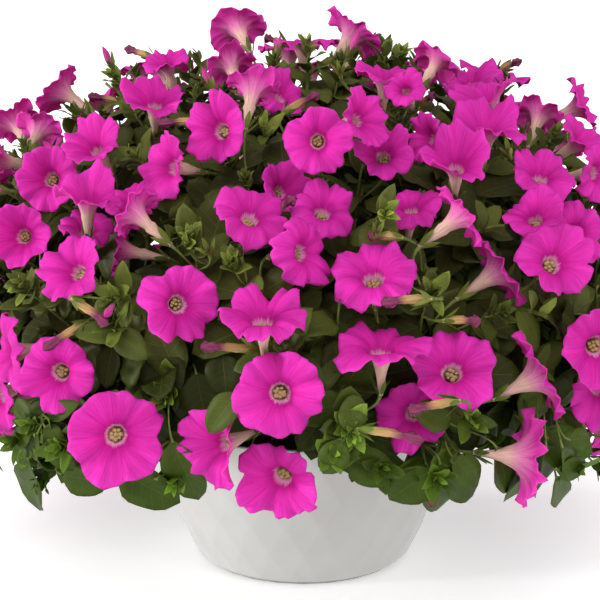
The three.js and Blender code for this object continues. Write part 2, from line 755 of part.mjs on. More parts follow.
const solidsOf = (spray) => [spray.core, ...spray.branches];
const solidsBut = (spray) => [pot, soil, ...sprays.filter((s) => s !== spray).flatMap(solidsOf)];
const cornersOf = (place, spray) => place.face.map((k) => spray.stem.points[k]);

function growFrom({ spray, place, branch, made }) {
  graft(spray.stem, place.face, branch);
  spray.places.splice(spray.places.indexOf(place), 1);
  spray.branches.push(made);
}

// The faces of a stem that point best at a branch's base, less a little for the distance. A face that
// points well away from it, or a branch that points back at the stem, would pinch the stalk.
function bestPlaces(spray, base, ahead) {
  const way = (place) => base.clone().sub(place.middle).normalize();
  const aim = (place) => way(place).dot(place.out) - place.middle.distanceTo(base) / 70;
  const open = spray.places.filter((place) => {
    return way(place).dot(place.out) > LEAST_SQUARE && way(place).dot(ahead) > LEAST_SQUARE;
  });
  return open.sort((a, b) => aim(b) - aim(a)).slice(0, NEAREST_FACES);
}

function nearestStems(base) {
  const far = (s) => Math.min(...s.places.map((place) => place.middle.distanceTo(base)));
  return sprays.slice().sort((a, b) => far(a) - far(b)).slice(0, NEAREST_STEMS);
}

// Grows a branch from whichever nearby free face leaves it clear of its own spray and, if one does, of
// every other.
function attach(mesh, base, ahead) {
  let best = null;
  for (const spray of nearestStems(base)) {
    for (const place of bestPlaces(spray, base, ahead)) {
      const branch = stalked(mesh, cornersOf(place, spray));
      const made = solidOf(branch);
      if (shared(made, solidsOf(spray)) > TOUCH) continue;
      const crossed = shared(made, solidsBut(spray));
      if (!best || crossed < best.crossed) best = { spray, place, branch, made, crossed };
      if (crossed === 0) return growFrom(best);
    }
  }
  if (!best) throw new Error("a branch has no stem to grow from");
  return growFrom(best);
}

function growLargeLeaf(leaf) {
  const inwards = outward(leaf.root).negate();
  const everything = [pot, soil, ...sprays.flatMap(solidsOf)];
  const at = (back) => {
    const moved = { ...leaf, root: leaf.root.clone().addScaledVector(inwards, back) };
    return { moved, neck: triangleAt(moved.root, moved.along, moved.normal, STALK_RADIUS, 0) };
  };
  const clear = ({ moved, neck }) => shared(solidOf(leafMesh(moved, neck, LEAF_MARGIN)), everything) === 0;
  const { moved, neck } = DRAW_BACK.map(at).find(clear) || at(0);
  attach(leafMesh(moved, neck, 0), moved.root, moved.along);
}

// A leaf on a face of the stem, held up and out from it, larger lower down.
function leafOn(spray, place, draw) {
  const along = spray.curve.getTangent(place.t);
  const out = outward(place.middle);
  const way = place.out.clone().applyAxisAngle(along, (draw() - 0.5) * 0.9);
  way.addScaledVector(along, 0.2 + 0.6 * draw()).addScaledVector(out, 0.25).normalize();
  const length = LEAF_LENGTH * (1.8 - 0.94 * place.t) * (0.85 + 0.4 * draw());
  return {
    root: place.middle.clone().addScaledVector(way, -1),
    along: way,
    normal: out.lerp(along, 0.3).add(V(0.01, 0.02, 0)).normalize(),
    length,
    width: length * (0.52 + 0.14 * draw()),
    droop: 0.06 + 0.16 * draw(),
  };
}

// A leaf that would cross anything is tried on another face, and left out if none is clear.
function growLeaf(spray, draw) {
  const others = solidsBut(spray);
  for (let k = 0; k < LEAF_TRIES; k++) {
    const place = spray.places[Math.floor(draw() * spray.places.length)];
    const leaf = leafOn(spray, place, draw);
    const foot = cornersOf(place, spray);
    const branch = leafMesh(leaf, foot, 0);
    const made = solidOf(branch);
    const thick = solidOf(leafMesh(leaf, foot, LEAF_MARGIN));
    if (shared(made, solidsOf(spray)) > TOUCH || shared(thick, others) > 0) continue;
    growFrom({ spray, place, branch, made });
    return;
  }
}

for (const flower of layFlowers(sprays.map((s) => s.tip))) {
  const base = flower.at.clone().addScaledVector(flower.faces, -TRUMPET_DEPTH);
  const draw = stream(Math.round(flower.across * 1000));
  attach(flowerMesh({ ...flower, base }, draw), base, flower.faces);
}
for (const spent of laySpent()) attach(spentMesh(spent), spent.base, spent.faces);
for (const leaf of layLargeLeaves()) growLargeLeaf(leaf);
for (let k = 0; k < LEAVES_PER_STEM; k++) {
  for (const spray of sprays) growLeaf(spray, stream(977 * spray.number + 31 * k + 7));
}

// Sprays that cross are fused into one.
function fuse() {
  const fused = [];
  for (const { number, stem } of sprays) {
    const whole = solidOf(stem);
    const crossed = fused.filter((f) => shared(whole, [f.whole]) > 0);
    crossed.forEach((f) => fused.splice(fused.indexOf(f), 1));
    fused.push({
      number: Math.min(number, ...crossed.map((f) => f.number)),
      whole: crossed.reduce((all, f) => all.add(f.whole), whole),
    });
  }
  return fused.sort((a, b) => a.number - b.number);
}

// A solid without the scraps that a union can leave beside it.
function withoutScraps(whole) {
  const bodies = whole.decompose().sort((a, b) => b.volume() - a.volume());
  if (bodies.slice(1).some((b) => b.volume() > SCRAP)) throw new Error("a spray has come apart");
  return bodies[0];
}

// ---- the part ------------------------------------------------------------------------------------
const petunia = new THREE.Group();
petunia.add(nodeOf(pot, "pot", { color: 0xe9e9e6, roughness: 0.4 }));
petunia.add(nodeOf(soil, "soil", { color: 0x3a2a1e, roughness: 0.95 }));
for (const { number, whole } of fuse()) {
  const name = "spray_" + String(number).padStart(2, "0");
  petunia.add(nodeOf(withoutScraps(whole), name, { color: 0xe02fa8, roughness: 0.6 }));
}

export default petunia;
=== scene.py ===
import math

import bmesh
import bpy
import numpy as np
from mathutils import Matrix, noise


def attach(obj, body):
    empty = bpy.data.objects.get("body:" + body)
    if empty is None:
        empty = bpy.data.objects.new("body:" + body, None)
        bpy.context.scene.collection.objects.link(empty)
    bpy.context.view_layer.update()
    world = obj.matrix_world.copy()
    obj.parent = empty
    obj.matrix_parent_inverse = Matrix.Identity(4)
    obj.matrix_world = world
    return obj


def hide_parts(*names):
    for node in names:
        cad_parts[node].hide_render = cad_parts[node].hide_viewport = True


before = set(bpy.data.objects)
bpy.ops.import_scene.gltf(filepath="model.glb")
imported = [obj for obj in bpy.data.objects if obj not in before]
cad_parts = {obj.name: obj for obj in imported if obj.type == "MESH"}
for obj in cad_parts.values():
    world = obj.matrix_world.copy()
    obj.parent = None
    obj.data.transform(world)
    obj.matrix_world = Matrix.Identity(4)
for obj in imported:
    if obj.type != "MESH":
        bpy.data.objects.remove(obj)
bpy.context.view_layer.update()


# ---- Pot ----------------------------------------------------------------------------------------
# A slip-cast ceramic bowl in a white satin glaze. Its wall is pressed with a lattice of shallow flat
# diamonds, whose edges the glaze rounds over. It stands on a small flat foot, and a painted contact
# shadow darkens its bottom edge.
MM = 0.001
POT_HEIGHT = 135
RIM_RADIUS = 138
WELD = 0.01  # vertices closer than this are the same one
ONE_FACET = math.radians(4.5)  # the two halves of a diamond lean less than this from each other
EDGE_ROUNDING = 1.7
LEAST_FACET = 60  # square millimetres; anything smaller is part of a rounded edge
GLAZE = (0.448, 0.440, 0.424, 1)
GLAZE_THIN = (0.400, 0.394, 0.381, 1)
CONTACT_SHADOW = (0.05, 0.047, 0.044, 1)
CONTACT_SHADOW_HEIGHT = 5.0  # how high the painted contact shadow reaches up from the floor
GLAZE_FINISH = {"Roughness": 0.28, "Coat Weight": 0.3, "Coat Roughness": 0.2}


def shader_of(name, finish):
    """A new material and its Principled shader, with the sockets set that are the same all over."""
    made = bpy.data.materials.new(name)
    made.use_nodes = True
    shader = made.node_tree.nodes["Principled BSDF"]
    for socket, value in finish.items():
        shader.inputs[socket].default_value = value
    return made, shader


def add_node(material, kind, inputs=None, **settings):
    """A node in a material, with its settings made and its inputs set or linked."""
    node = material.node_tree.nodes.new(kind)
    for name, value in settings.items():
        setattr(node, name, value)
    for name, value in (inputs or {}).items():
        if isinstance(value, bpy.types.NodeSocket):
            material.node_tree.links.new(value, node.inputs[name])
        else:
            node.inputs[name].default_value = value
    return node


def link(material, output, shader, socket):
    material.node_tree.links.new(output, shader.inputs[socket])


def ramp(material, value, stops):
    """A colour ramp's output, from its stops as (place, colour)."""
    node = add_node(material, "ShaderNodeValToRGB", {"Fac": value})
    points = node.color_ramp.elements
    points[0].position, points[0].color = stops[0]
    points[-1].position, points[-1].color = stops[-1]
    for place, colour in stops[1:-1]:
        points.new(place).color = colour
    return node.outputs["Color"]


def blend_colours(material, share, below, above, kind="MIX"):
    inputs = {0: share, 6: below, 7: above}
    return add_node(material, "ShaderNodeMix", inputs, data_type="RGBA", blend_type=kind).outputs[2]


def calculate(material, operation, first, second=0.0, third=0.0, clamp=False):
    inputs = {0: first, 1: second, 2: third}
    return add_node(material, "ShaderNodeMath", inputs, operation=operation, use_clamp=clamp).outputs[0]


def object_place(material):
    return add_node(material, "ShaderNodeTexCoord").outputs["Object"]


def split(material, vector):
    """The X, Y and Z of a vector."""
    return add_node(material, "ShaderNodeSeparateXYZ", {"Vector": vector}).outputs


def clouds(material, place, scale, detail):
    """Noise around 0.5, which is finer for a larger scale."""
    inputs = {"Vector": place, "Scale": scale, "Detail": detail}
    return add_node(material, "ShaderNodeTexNoise", inputs).outputs["Fac"]


def bump(material, shader, height, strength, distance):
    inputs = {"Height": height, "Strength": strength, "Distance": distance}
    link(material, add_node(material, "ShaderNodeBump", inputs).outputs["Normal"], shader, "Normal")


def put_together(name, bm, materials, slot, *nodes):
    """Makes a bmesh a piece of the object, which stands for the named CAD nodes."""
    mesh = bpy.data.meshes.new(name)
    bm.to_mesh(mesh)
    bm.free()
    for material in materials:
        mesh.materials.append(material)
    piece = bpy.data.objects.new(name, mesh)
    bpy.context.scene.collection.objects.link(piece)
    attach(piece, "root")
    if nodes:
        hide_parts(*nodes)
    return piece


def make_pot():
    bm = bmesh.new()
    bm.from_mesh(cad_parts["pot"].data)
    bmesh.ops.remove_doubles(bm, verts=bm.verts, dist=WELD * MM)
    bmesh.ops.dissolve_limit(bm, angle_limit=ONE_FACET, verts=bm.verts, edges=bm.edges)
    edges = [e for e in bm.edges if e.calc_face_angle(0) > ONE_FACET]
    bmesh.ops.bevel(
        bm, geom=edges, offset=EDGE_ROUNDING * MM, segments=3, profile=0.5, affect="EDGES", material=-1,
        clamp_overlap=True,
    )
    bmesh.ops.remove_doubles(bm, verts=bm.verts, dist=2 * WELD * MM)
    for face in bm.faces:
        face.smooth = face.calc_area() < LEAST_FACET * MM * MM
    return bm


def make_glaze():
    glaze, shader = shader_of("white_satin_glaze", GLAZE_FINISH)
    place = object_place(glaze)
    colour = ramp(glaze, clouds(glaze, place, 14, 3), [(0.35, GLAZE_THIN), (0.62, GLAZE)])
    # A near-black band at the bottom is painted contact shadow, where the pot meets the floor.
    rise = calculate(glaze, "MULTIPLY", split(glaze, place)["Z"], 1 / (CONTACT_SHADOW_HEIGHT * MM), clamp=True)
    colour = blend_colours(glaze, calculate(glaze, "POWER", rise, 3.0), CONTACT_SHADOW, colour)
    link(glaze, colour, shader, "Base Color")
    bump(glaze, shader, clouds(glaze, place, 90, 2), 0.06, 0.001)
    return glaze


put_together("pot_bowl", make_pot(), [make_glaze()], "pot_glaze", "pot")


# ---- Potting mix --------------------------------------------------------------------------------
# Dark peat and bark, filled to a finger's width below the rim and settled into small crumbs and
# hollows; the feet of the stems sink into it.
SOIL_TOP = POT_HEIGHT - 16
SOIL_RADIUS = RIM_RADIUS - 8.5
SOIL_DEPTH = 30
SOIL_RINGS = 34
SOIL_SEGMENTS = 96
SIDE_RINGS = 3  # the rings that make the side of the mix; the others are its top
CRUMBS = 3.2
LUMPS = [(21, 1.0), (7, 0.6), (3, 0.35)]  # how far across each kind of lump is, and its share of the height
PEAT = (0.030, 0.019, 0.012, 1)
BARK = (0.095, 0.055, 0.032, 1)


def pattern_mesh(name, bm):
    """Makes a bmesh a smooth mesh, of which copies are grown later."""
    for face in bm.faces:
        face.smooth = True
    mesh = bpy.data.meshes.new(name)
    bm.to_mesh(mesh)
    bm.free()
    return mesh


def ringed_pattern(name, segments, rings):
    """A mesh drawn out of a circle, ring by ring, and for each vertex its ring and its turn. Its UV map
    runs once round and once along, so that a pattern can follow the surface."""
    bm = bmesh.new()
    across = bm.loops.layers.uv.new("along")
    first = bmesh.ops.create_circle(bm, segments=segments, radius=1)["verts"]
    ring_of = {v: 0 for v in first}
    edges = list(bm.edges)
    for ring in range(1, rings):
        new = bmesh.ops.extrude_edge_only(bm, edges=edges)["geom"]
        edges = [g for g in new if isinstance(g, bmesh.types.BMEdge)]
        ring_of.update({g: ring for g in new if isinstance(g, bmesh.types.BMVert)})
    turn_of = {v: math.atan2(v.co.y, v.co.x) % math.tau for v in bm.verts}
    for face in bm.faces:
        turns = [turn_of[corner.vert] / math.tau for corner in face.loops]
        wraps = max(turns) - min(turns) > 0.5
        for corner, turn in zip(face.loops, turns):
            along = ring_of[corner.vert] / (rings - 1)
            corner[across].uv = (turn + (wraps and turn < 0.5), along)
    ring, turn = (np.array([known[v] for v in bm.verts]) for known in (ring_of, turn_of))
    return pattern_mesh(name, bm), ring, turn


def make_soil():
    pattern, ring, turn = ringed_pattern("soil_pattern", SOIL_SEGMENTS, SOIL_RINGS)
    bm = bmesh.new()
    bm.from_mesh(pattern)
    for v, k, angle in zip(bm.verts, ring, turn):
        reach = SOIL_RADIUS * min(1, (SOIL_RINGS - 1 - k) / (SOIL_RINGS - 1 - SIDE_RINGS))
        v.co = (math.cos(angle) * reach, math.sin(angle) * reach, SOIL_TOP)
        if k < SIDE_RINGS:
            v.co.xy *= 1 - 0.03 * (SIDE_RINGS - k)
            v.co.z -= SOIL_DEPTH * (SIDE_RINGS - k) / SIDE_RINGS
        else:
            lump = sum(share * noise.noise(v.co / wide) for wide, share in LUMPS)
            v.co.z += CRUMBS * lump * min(1, (k - SIDE_RINGS + 0.4) / 2)
    bmesh.ops.scale(bm, vec=(MM, MM, MM), verts=bm.verts)
    bmesh.ops.remove_doubles(bm, verts=bm.verts, dist=WELD * MM)
    bmesh.ops.holes_fill(bm, edges=[e for e in bm.edges if e.is_boundary], sides=0)
    bmesh.ops.recalc_face_normals(bm, faces=bm.faces)
    return bm


def make_potting_mix():
    mix, shader = shader_of("potting_mix", {"Roughness": 0.95})
    place = object_place(mix)
    crumbs = add_node(mix, "ShaderNodeTexVoronoi", {"Vector": place, "Scale": 260})
    link(mix, ramp(mix, clouds(mix, place, 120, 5), [(0.42, PEAT), (0.68, BARK)]), shader, "Base Color")
    bump(mix, shader, crumbs.outputs["Distance"], 0.8, 0.002)
    return mix


put_together("potting_mix", make_soil(), [make_potting_mix()], "potting_mix", "soil")


# ---- The plant's layout ---------------------------------------------------------------------------
# The plant is a mound of some 45 stems that spread from the pot. Flowers and shoot tips on the side
# that the picture shows are placed by the pixel they show at; the rest follow a golden-angle spiral.
PICTURE_SIDE = 600  # pixels
PICTURE_MARGIN = 14  # pixels
LENS_PIXELS = 1529  # focal length in pixels
EYE = np.array([-3.0, -1323.0, 510.0])
EYE_PITCH = math.radians(-11.9)
UP = np.array([0.0, 0.0, 1.0])
AHEAD = np.array([0.0, math.cos(EYE_PITCH), math.sin(EYE_PITCH)])
SKYWARD = np.array([0.0, -math.sin(EYE_PITCH), math.cos(EYE_PITCH)])
MOUND_RADIUS = 345
MOUND_WAIST = 200  # the height at which the mound is widest
MOUND_ABOVE = 264  # how far it reaches up from there
MOUND_BELOW = 140
MOUND_FULLNESS = 2.05  # 2 would make the mound an ellipsoid; more makes it boxier
TRUMPET_DEPTH = 46
FLOWER_ACROSS = 60
LEAF_LENGTH = 56
LOWEST_TIP = math.radians(118)
LOWEST_FLOWER = math.radians(116)
GOLDEN_ANGLE = math.pi * (3 - math.sqrt(5))
SIGHT_STEPS = range(850, 1700, 2)  # how far from the eye the mound is looked for
GRAZING = -0.2  # a surface turned further from the eye than this isn't made out in the picture
# How many places the spiral offers, and how far from the others a tip or flower has to be to take one.
TIPS_ROUND, TIP_SPACING = 40, 90
FLOWERS_ROUND, FLOWER_SPACING, TIP_CLEARANCE = 152, 57, 24
FLOWER_GAP = 11  # the least gap between two flowers
SETTLE_STEP, SETTLE_TRIES = 5, 13

# Open flowers: pixel x, y of the middle of the face; the way it faces, as degrees round from the
# viewer (minus is left, 180 is away) and degrees up; how many pixels across it is; and how many
# millimetres it sits behind (minus: in front of) the mound's surface, along the line of sight.
OPEN_FLOWERS = [
    (237, 27, -150, 38, 58, 0), (166, 61, -30, 66, 48, 10), (228, 62, -150, 42, 54, 40),
    (154, 99, 5, 44, 66, 0), (216, 129, -28, 16, 72, -14), (60, 90, -104, 35, 58, 0),
    (14, 121, -140, 42, 54, 14), (40, 130, 165, 30, 50, 52), (93, 145, -24, 36, 60, 0),
    (49, 178, -6, 16, 66, 6), (88, 196, 14, 62, 72, -12), (166, 166, -46, 12, 70, 4),
    (20, 236, -8, 12, 64, -6), (72, 268, -28, 24, 74, -18), (86, 226, 10, 56, 58, 34),
    (133, 196, -20, 58, 60, 26), (133, 212, -118, 34, 60, 0), (120, 250, -94, 10, 60, 24),
    (252, 212, 14, 44, 77, -10), (284, 188, 30, 30, 58, 36), (325, 207, 14, 36, 70, 8),
    (309, 252, 36, 10, 74, -6), (180, 304, 18, 12, 80, -6), (262, 313, 0, 54, 84, -4),
    (253, 88, 168, 50, 56, 0), (284, 92, 40, 40, 56, 40), (354, 33, 118, 48, 66, 0),
    (384, 74, 0, 72, 62, 14), (404, 86, -20, 36, 42, -6), (364, 118, 44, 16, 64, -20),
    (318, 141, 0, 8, 67, 0), (383, 152, 0, 8, 64, 10), (425, 138, -55, 10, 54, 16),
    (456, 162, -8, 40, 72, 0), (487, 127, 5, 62, 74, 12), (543, 172, 10, 46, 67, 0),
    (582, 106, 76, 25, 60, 0), (583, 140, 56, 34, 58, 24), (487, 97, -62, 60, 66, 22),
    (471, 77, -46, 68, 63, 26), (440, 58, 140, 40, 50, 0), (412, 203, 0, 46, 64, 14),
    (463, 214, 96, 34, 70, -14), (534, 214, -20, 46, 60, 30), (577, 232, 6, 16, 66, 8),
    (556, 260, -14, 26, 80, -16), (373, 272, -8, 40, 86, -8), (500, 270, 86, 34, 84, -12),
    (57, 373, -8, 10, 79, 0), (4, 354, -62, -4, 86, -8), (115, 437, 4, 9, 96, -18),
    (280, 395, 0, 8, 92, -18), (217, 447, -28, -10, 84, 6), (278, 482, -16, -15, 88, -6),
    (382, 343, 4, 74, 95, -14), (453, 368, 0, 26, 90, -16), (541, 375, 80, 30, 96, 4),
    (526, 457, 80, -8, 98, 0), (412, 416, -12, 4, 74, 16), (600, 348, 12, 4, 86, 0),
    (604, 392, 18, -12, 80, 22), (601, 172, 42, 10, 62, 10), (-4, 160, -60, 12, 62, 0),
    (541, 113, 150, 44, 56, 40), (-6, 398, -42, -10, 80, 18),
]

# Flowers whose limbs have opened further to one side than the way they grow: pixel x, y of the middle of
# the face, and the way the limb faces, as degrees round from the viewer and up.
LIMB_FACES = {
    (463, 214): (99, 36), (500, 270): (102, 32), (541, 375): (96, 26), (526, 457): (94, -6),
    (373, 272): (-8, 53), (252, 212): (24, 50), (325, 207): (20, 46), (309, 252): (50, 12),
    (262, 313): (-4, 68), (412, 203): (4, 62), (456, 162): (-6, 54), (487, 127): (5, 72),
    (543, 172): (18, 56), (556, 260): (16, 32), (383, 152): (-4, 36), (154, 99): (5, 55),
    (93, 145): (-26, 44), (88, 196): (14, 70), (72, 268): (-32, 34), (217, 447): (-46, -6),
    (278, 482): (-20, -12), (382, 343): (2, 79), (453, 368): (0, 38), (60, 90): (-112, 30),
    (237, 27): (-156, 34),
}

# Shoot tips: pixel x, y of the leafy tip, and how far behind the mound's surface it sits.
SHOOT_TIPS = [
    (112, 74, 0), (128, 152, 24), (262, 126, 4), (184, 246, -10), (386, 214, -6), (440, 300, -6),
    (352, 432, -14), (470, 410, -10), (34, 424, -6), (112, 300, -4), (574, 466, 10), (512, 150, 14),
    (308, 42, 0), (404, 50, 10), (506, 226, 14), (20, 286, 0), (548, 318, 6), (166, 396, 34),
    (286, 336, 14), (176, 480, 20), (16, 190, 14),
]


def stream(seed):
    """A repeatable stream of numbers from 0 to 1."""
    state = seed % 2**32
    while True:
        state = (state * 1664525 + 1013904223) % 2**32
        yield state / 2**32


def unit(v):
    return v / np.linalg.norm(v)


def heading(turned, up):
    """The direction that is so many degrees round from the viewer, and so many up."""
    turned, up = math.radians(turned), math.radians(up)
    return np.array([math.sin(turned) * math.cos(up), -math.cos(turned) * math.cos(up), math.sin(up)])


def outside(p):
    """Below 0 inside the mound, 0 on its surface and above 0 outside."""
    tall = MOUND_ABOVE if p[2] > MOUND_WAIST else MOUND_BELOW
    across = math.hypot(p[0], p[1]) / MOUND_RADIUS
    return across**MOUND_FULLNESS + (abs(p[2] - MOUND_WAIST) / tall) ** MOUND_FULLNESS - 1


def outward(p):
    """The direction square to the mound's surface."""
    here = outside(p)
    return unit(np.array([outside(p + step) - here for step in np.eye(3)]))


def surface_point(turned, from_top):
    """The point of the mound's surface in a direction from its middle, given in radians."""
    level, rise = math.sin(from_top), math.cos(from_top)
    tall = MOUND_ABOVE if rise > 0 else MOUND_BELOW
    total = (level / MOUND_RADIUS) ** MOUND_FULLNESS + (abs(rise) / tall) ** MOUND_FULLNESS
    way = np.array([math.sin(turned) * level, -math.cos(turned) * level, rise])
    return way * total ** (-1 / MOUND_FULLNESS) + UP * MOUND_WAIST


def sight_line(x, y):
    """The direction from the eye through a pixel."""
    right, high = (x - PICTURE_SIDE / 2) / LENS_PIXELS, (PICTURE_SIDE / 2 - y) / LENS_PIXELS
    return unit(np.array([right, 0, 0]) + SKYWARD * high + AHEAD)


def seen_point(x, y, deeper):
    """The nearest point of the mound on a pixel's line of sight, or the closest to it off its edge."""
    line, least, best = sight_line(x, y), math.inf, 0
    for far in SIGHT_STEPS:
        value = outside(EYE + line * far)
        if value < least:
            least, best = value, far
        if value < 0:
            break
    return EYE + line * (best + deeper)


def width_at(p, pixels):
    """How many millimetres wide something is that looks so many pixels wide at a point."""
    return pixels * ((p - EYE) @ AHEAD) / LENS_PIXELS


def unseen(p):
    """True past the picture's edges, on the far side and on the crown, seen at a grazing angle."""
    x, _ = pixel_of(p)
    if x < -PICTURE_MARGIN or x > PICTURE_SIDE + PICTURE_MARGIN:
        return True
    out = outward(p)
    return p[1] > 0 if out[2] < 0 else out @ unit(p - EYE) > GRAZING


def pixel_of(p):
    """The pixel x and y that a point shows at, or those of an array of points."""
    d, middle = p - EYE, PICTURE_SIDE / 2
    depth = d @ AHEAD
    return middle + LENS_PIXELS * d[..., 0] / depth, middle - LENS_PIXELS * (d @ SKYWARD) / depth


def spiral(count, lowest):
    """Points spread evenly over the mound's surface, from its top down."""
    for k in range(count):
        rise = 1 - ((k + 0.5) / count) * (1 - math.cos(lowest))
        yield surface_point(k * GOLDEN_ANGLE, math.acos(rise))


def clear_of(p, others, space):
    return all(np.linalg.norm(o - p) > space for o in others)


def turned_to(faces):
    """The rotation that takes +Z to a direction by the shortest way, as a matrix of columns."""
    axis = np.cross(UP, faces)
    skew = np.array([[0, -axis[2], axis[1]], [axis[2], 0, -axis[0]], [-axis[1], axis[0], 0]])
    return np.eye(3) + skew + skew @ skew / max(1 + faces[2], 1e-6)


def turned_about(v, axis, angle):
    """A vector turned about an axis."""
    along = axis * (axis @ v)
    return along + (v - along) * math.cos(angle) + np.cross(axis, v) * math.sin(angle)


def lay_tips():
    tips = [seen_point(*row) for row in SHOOT_TIPS]
    for p in spiral(TIPS_ROUND, LOWEST_TIP):
        if unseen(p) and clear_of(p, tips, TIP_SPACING):
            tips.append(p)
    return tips


# The points that stand for a flower where flowers are kept apart: on its face, as shares of the limb's
# radius, and down its tube, as shares of the trumpet's depth.
DISC = [
    (share * math.cos(math.tau * k / count), share * math.sin(math.tau * k / count), 0)
    for share, count in ((0.36, 5), (0.68, 10), (1, 16))
    for k in range(count)
]
TUBE = [0.25, 0.5, 0.75, 1]


def settle(flower, way, placed):
    """Moves a flower along `way`, by as little as will clear the ones placed before it."""
    near = [o["points"] for o in placed if np.linalg.norm(o["at"] - flower["at"]) < 2.5 * FLOWER_ACROSS]
    face = np.array(DISC) * flower["across"] / 2 @ turned_to(flower["faces"]).T
    points = np.vstack([face, [-deep * TRUMPET_DEPTH * flower["faces"] for deep in TUBE]])
    for k in range(SETTLE_TRIES):
        for sign in (1, -1) if k else (1,):
            at = flower["at"] + way * sign * k * SETTLE_STEP
            mine = points + at
            gaps = (np.linalg.norm(mine[:, None] - theirs[None], axis=2).min() for theirs in near)
            if all(gap > FLOWER_GAP for gap in gaps):
                return {**flower, "at": at, "points": mine}
    return None


def lay_flowers(tips):
    flowers = []
    for x, y, turned, up, wide, deeper in OPEN_FLOWERS:
        at = seen_point(x, y, deeper)
        flower = {"at": at, "faces": heading(turned, up), "across": width_at(at, wide)}
        flowers.append(settle(flower, sight_line(x, y), flowers))
    for row, flower in zip(OPEN_FLOWERS, flowers):
        if flower and row[:2] in LIMB_FACES:
            flower["faces"] = heading(*LIMB_FACES[row[:2]])
    flowers = [f for f in flowers if f]
    draw = stream(11)
    for p in spiral(FLOWERS_ROUND, LOWEST_FLOWER):
        turn, lift, size, deep = (next(draw) for _ in range(4))
        free = clear_of(p, [f["at"] for f in flowers], FLOWER_SPACING) and clear_of(p, tips, TIP_CLEARANCE)
        if not free or not unseen(p):
            continue
        out = outward(p)
        faces = turned_about(out, UP, (turn - 0.5) * 1.1)
        faces = unit(faces + UP * (lift - 0.25) * 0.8)
        across = (0.88 + 0.18 * size) * FLOWER_ACROSS
        flower = {"at": p - out * (4 + 16 * deep), "faces": faces, "across": across}
        settled = settle(flower, -out, flowers)
        if settled:
            flowers.append(settled)
    return flowers


tips = lay_tips()
flowers = lay_flowers(tips)


# ---- Stems ----------------------------------------------------------------------------------------
# Green, slightly hairy stems. Each rises from the mix and arches out to its leafy tip, and carries
# side shoots that fill the mound, so that leaves show wherever there is no flower.
STEM_RADII = (2.4 * 1.15, 2.4 * 0.55)  # at its foot and at its tip
STEM_SUNK = 10  # how far its foot goes into the mix
STEMS_WITHIN = 109
STEM_RINGS = 40
BRANCHING = slice(14, 36)  # the rings of a stem that side shoots leave from
SIDE_SHOOTS = 230
SHOOT_SPACING = 26
SHOOT_LENGTH = 70  # about how far before its tip a shoot leaves its stem
COVERED_WITHIN = 34  # a shoot whose tip is nearer than this to a flower stays under it
SHOOT_RADII = (1.3, 0.8)  # at its foot and at its tip
SHOOT_RINGS = 20
SHOOT_END = slice(-8, None)  # the part of a shoot that has to be clear of flowers
# The space that a flower keeps free: in front of its face, behind its face and round its tube.
FACE_FREE, LIMB_FREE, TUBE_FREE = 42, 5, 12
FLOWER_REACH = 110  # a leaf or shoot that starts further off can't touch the flower
EDGE_MARGIN = 24  # pixels from the foliage's lower edge up to the lowest shoot
ANY_TURN = 6.3  # radians; a turn drawn by chance is a share of this
# The foliage's lower edge in the picture, as pixel x and y: below it the pot and the floor show.
FOLIAGE_EDGE = [
    (0, 470), (16, 505), (34, 518), (60, 492), (110, 490), (150, 506), (200, 508), (214, 476),
    (240, 458), (300, 458), (330, 478), (385, 500), (410, 506), (440, 520), (480, 496), (512, 512),
    (545, 505), (590, 476), (600, 460),
]
# Leafy shoots that stand out from the mound, at pixel x and y.
SEEN_SHOOTS = [
    (190, 236), (110, 318), (34, 426), (14, 440), (62, 446), (232, 262), (270, 338), (300, 62),
    (432, 290), (466, 322), (350, 424), (334, 452), (473, 418), (465, 455), (436, 478), (553, 462),
    (582, 470), (590, 440), (540, 150), (500, 228), (548, 318), (20, 282), (386, 44), (340, 300),
    (190, 470), (120, 470),
]
# Shaded hollows where only large leaves show; the leaves there sit deep and get painted shade: pixel x, y and
# radius.
HOLLOWS = [(165, 372, 36), (208, 392, 32), (236, 360, 24), (338, 338, 24), (118, 372, 24)]
STEM_GREEN = (0.075, 0.098, 0.020, 1)
STEM_PALE = (0.135, 0.165, 0.042, 1)


def bezier(points, count):
    """Points along a cubic curve, given by its two ends and the two points between that it bends to."""
    t = np.linspace(0, 1, count)[:, None]
    a, b, c, d = points
    return a * (1 - t) ** 3 + 3 * b * t * (1 - t) ** 2 + 3 * c * t**2 * (1 - t) + d * t**3


def stem_line(tip):
    """A stem that rises steeply from the mix, those for the mound's sides further out, and arches out and
    over to its tip."""
    across = math.hypot(tip[0], tip[1])
    out = np.array([tip[0] / across, tip[1] / across, 0])
    from_top = math.atan2(across, tip[2] - MOUND_WAIST)
    foot = out * STEMS_WITHIN * from_top / LOWEST_TIP + UP * SOIL_TOP
    first = foot + UP * (60 + 70 * math.sin(from_top))
    last = tip - out * 55 * math.sin(from_top) + UP * (26 - 70 * math.cos(from_top))
    return bezier((foot, first, last, tip), STEM_RINGS)


def hangs_low(p, margin=0):
    """True where the picture shows the pot or the floor, with no foliage in front of it."""
    x, y = pixel_of(p)
    return 0 < x < PICTURE_SIDE and y > np.interp(x, *zip(*FOLIAGE_EDGE)) - margin


def in_hollow(p):
    """True in front of one of the shaded hollows that the picture shows."""
    x, y = pixel_of(p)
    return p[1] < 0 and any(math.hypot(x - a, y - b) < radius for a, b, radius in HOLLOWS)


def hits_flower(places):
    """True if a leaf or shoot would stand in front of a flower's face or cut through its limb or tube."""
    for flower in flowers:
        if np.linalg.norm(flower["at"] - places[0]) > FLOWER_REACH:
            continue
        d = places[::2] - flower["at"]
        depth = d @ flower["faces"]
        away = np.linalg.norm(d - depth[:, None] * flower["faces"], axis=1)
        share = away / (0.5 * flower["across"] + 2)
        face = (share < 1) & (depth > -LIMB_FREE - 9 * share**2) & (depth < FACE_FREE)
        tube = (away < TUBE_FREE + depth * 0.2) & (depth > -TRUMPET_DEPTH) & (depth <= -LIMB_FREE)
        if (face | tube).any():
            return True
    return False


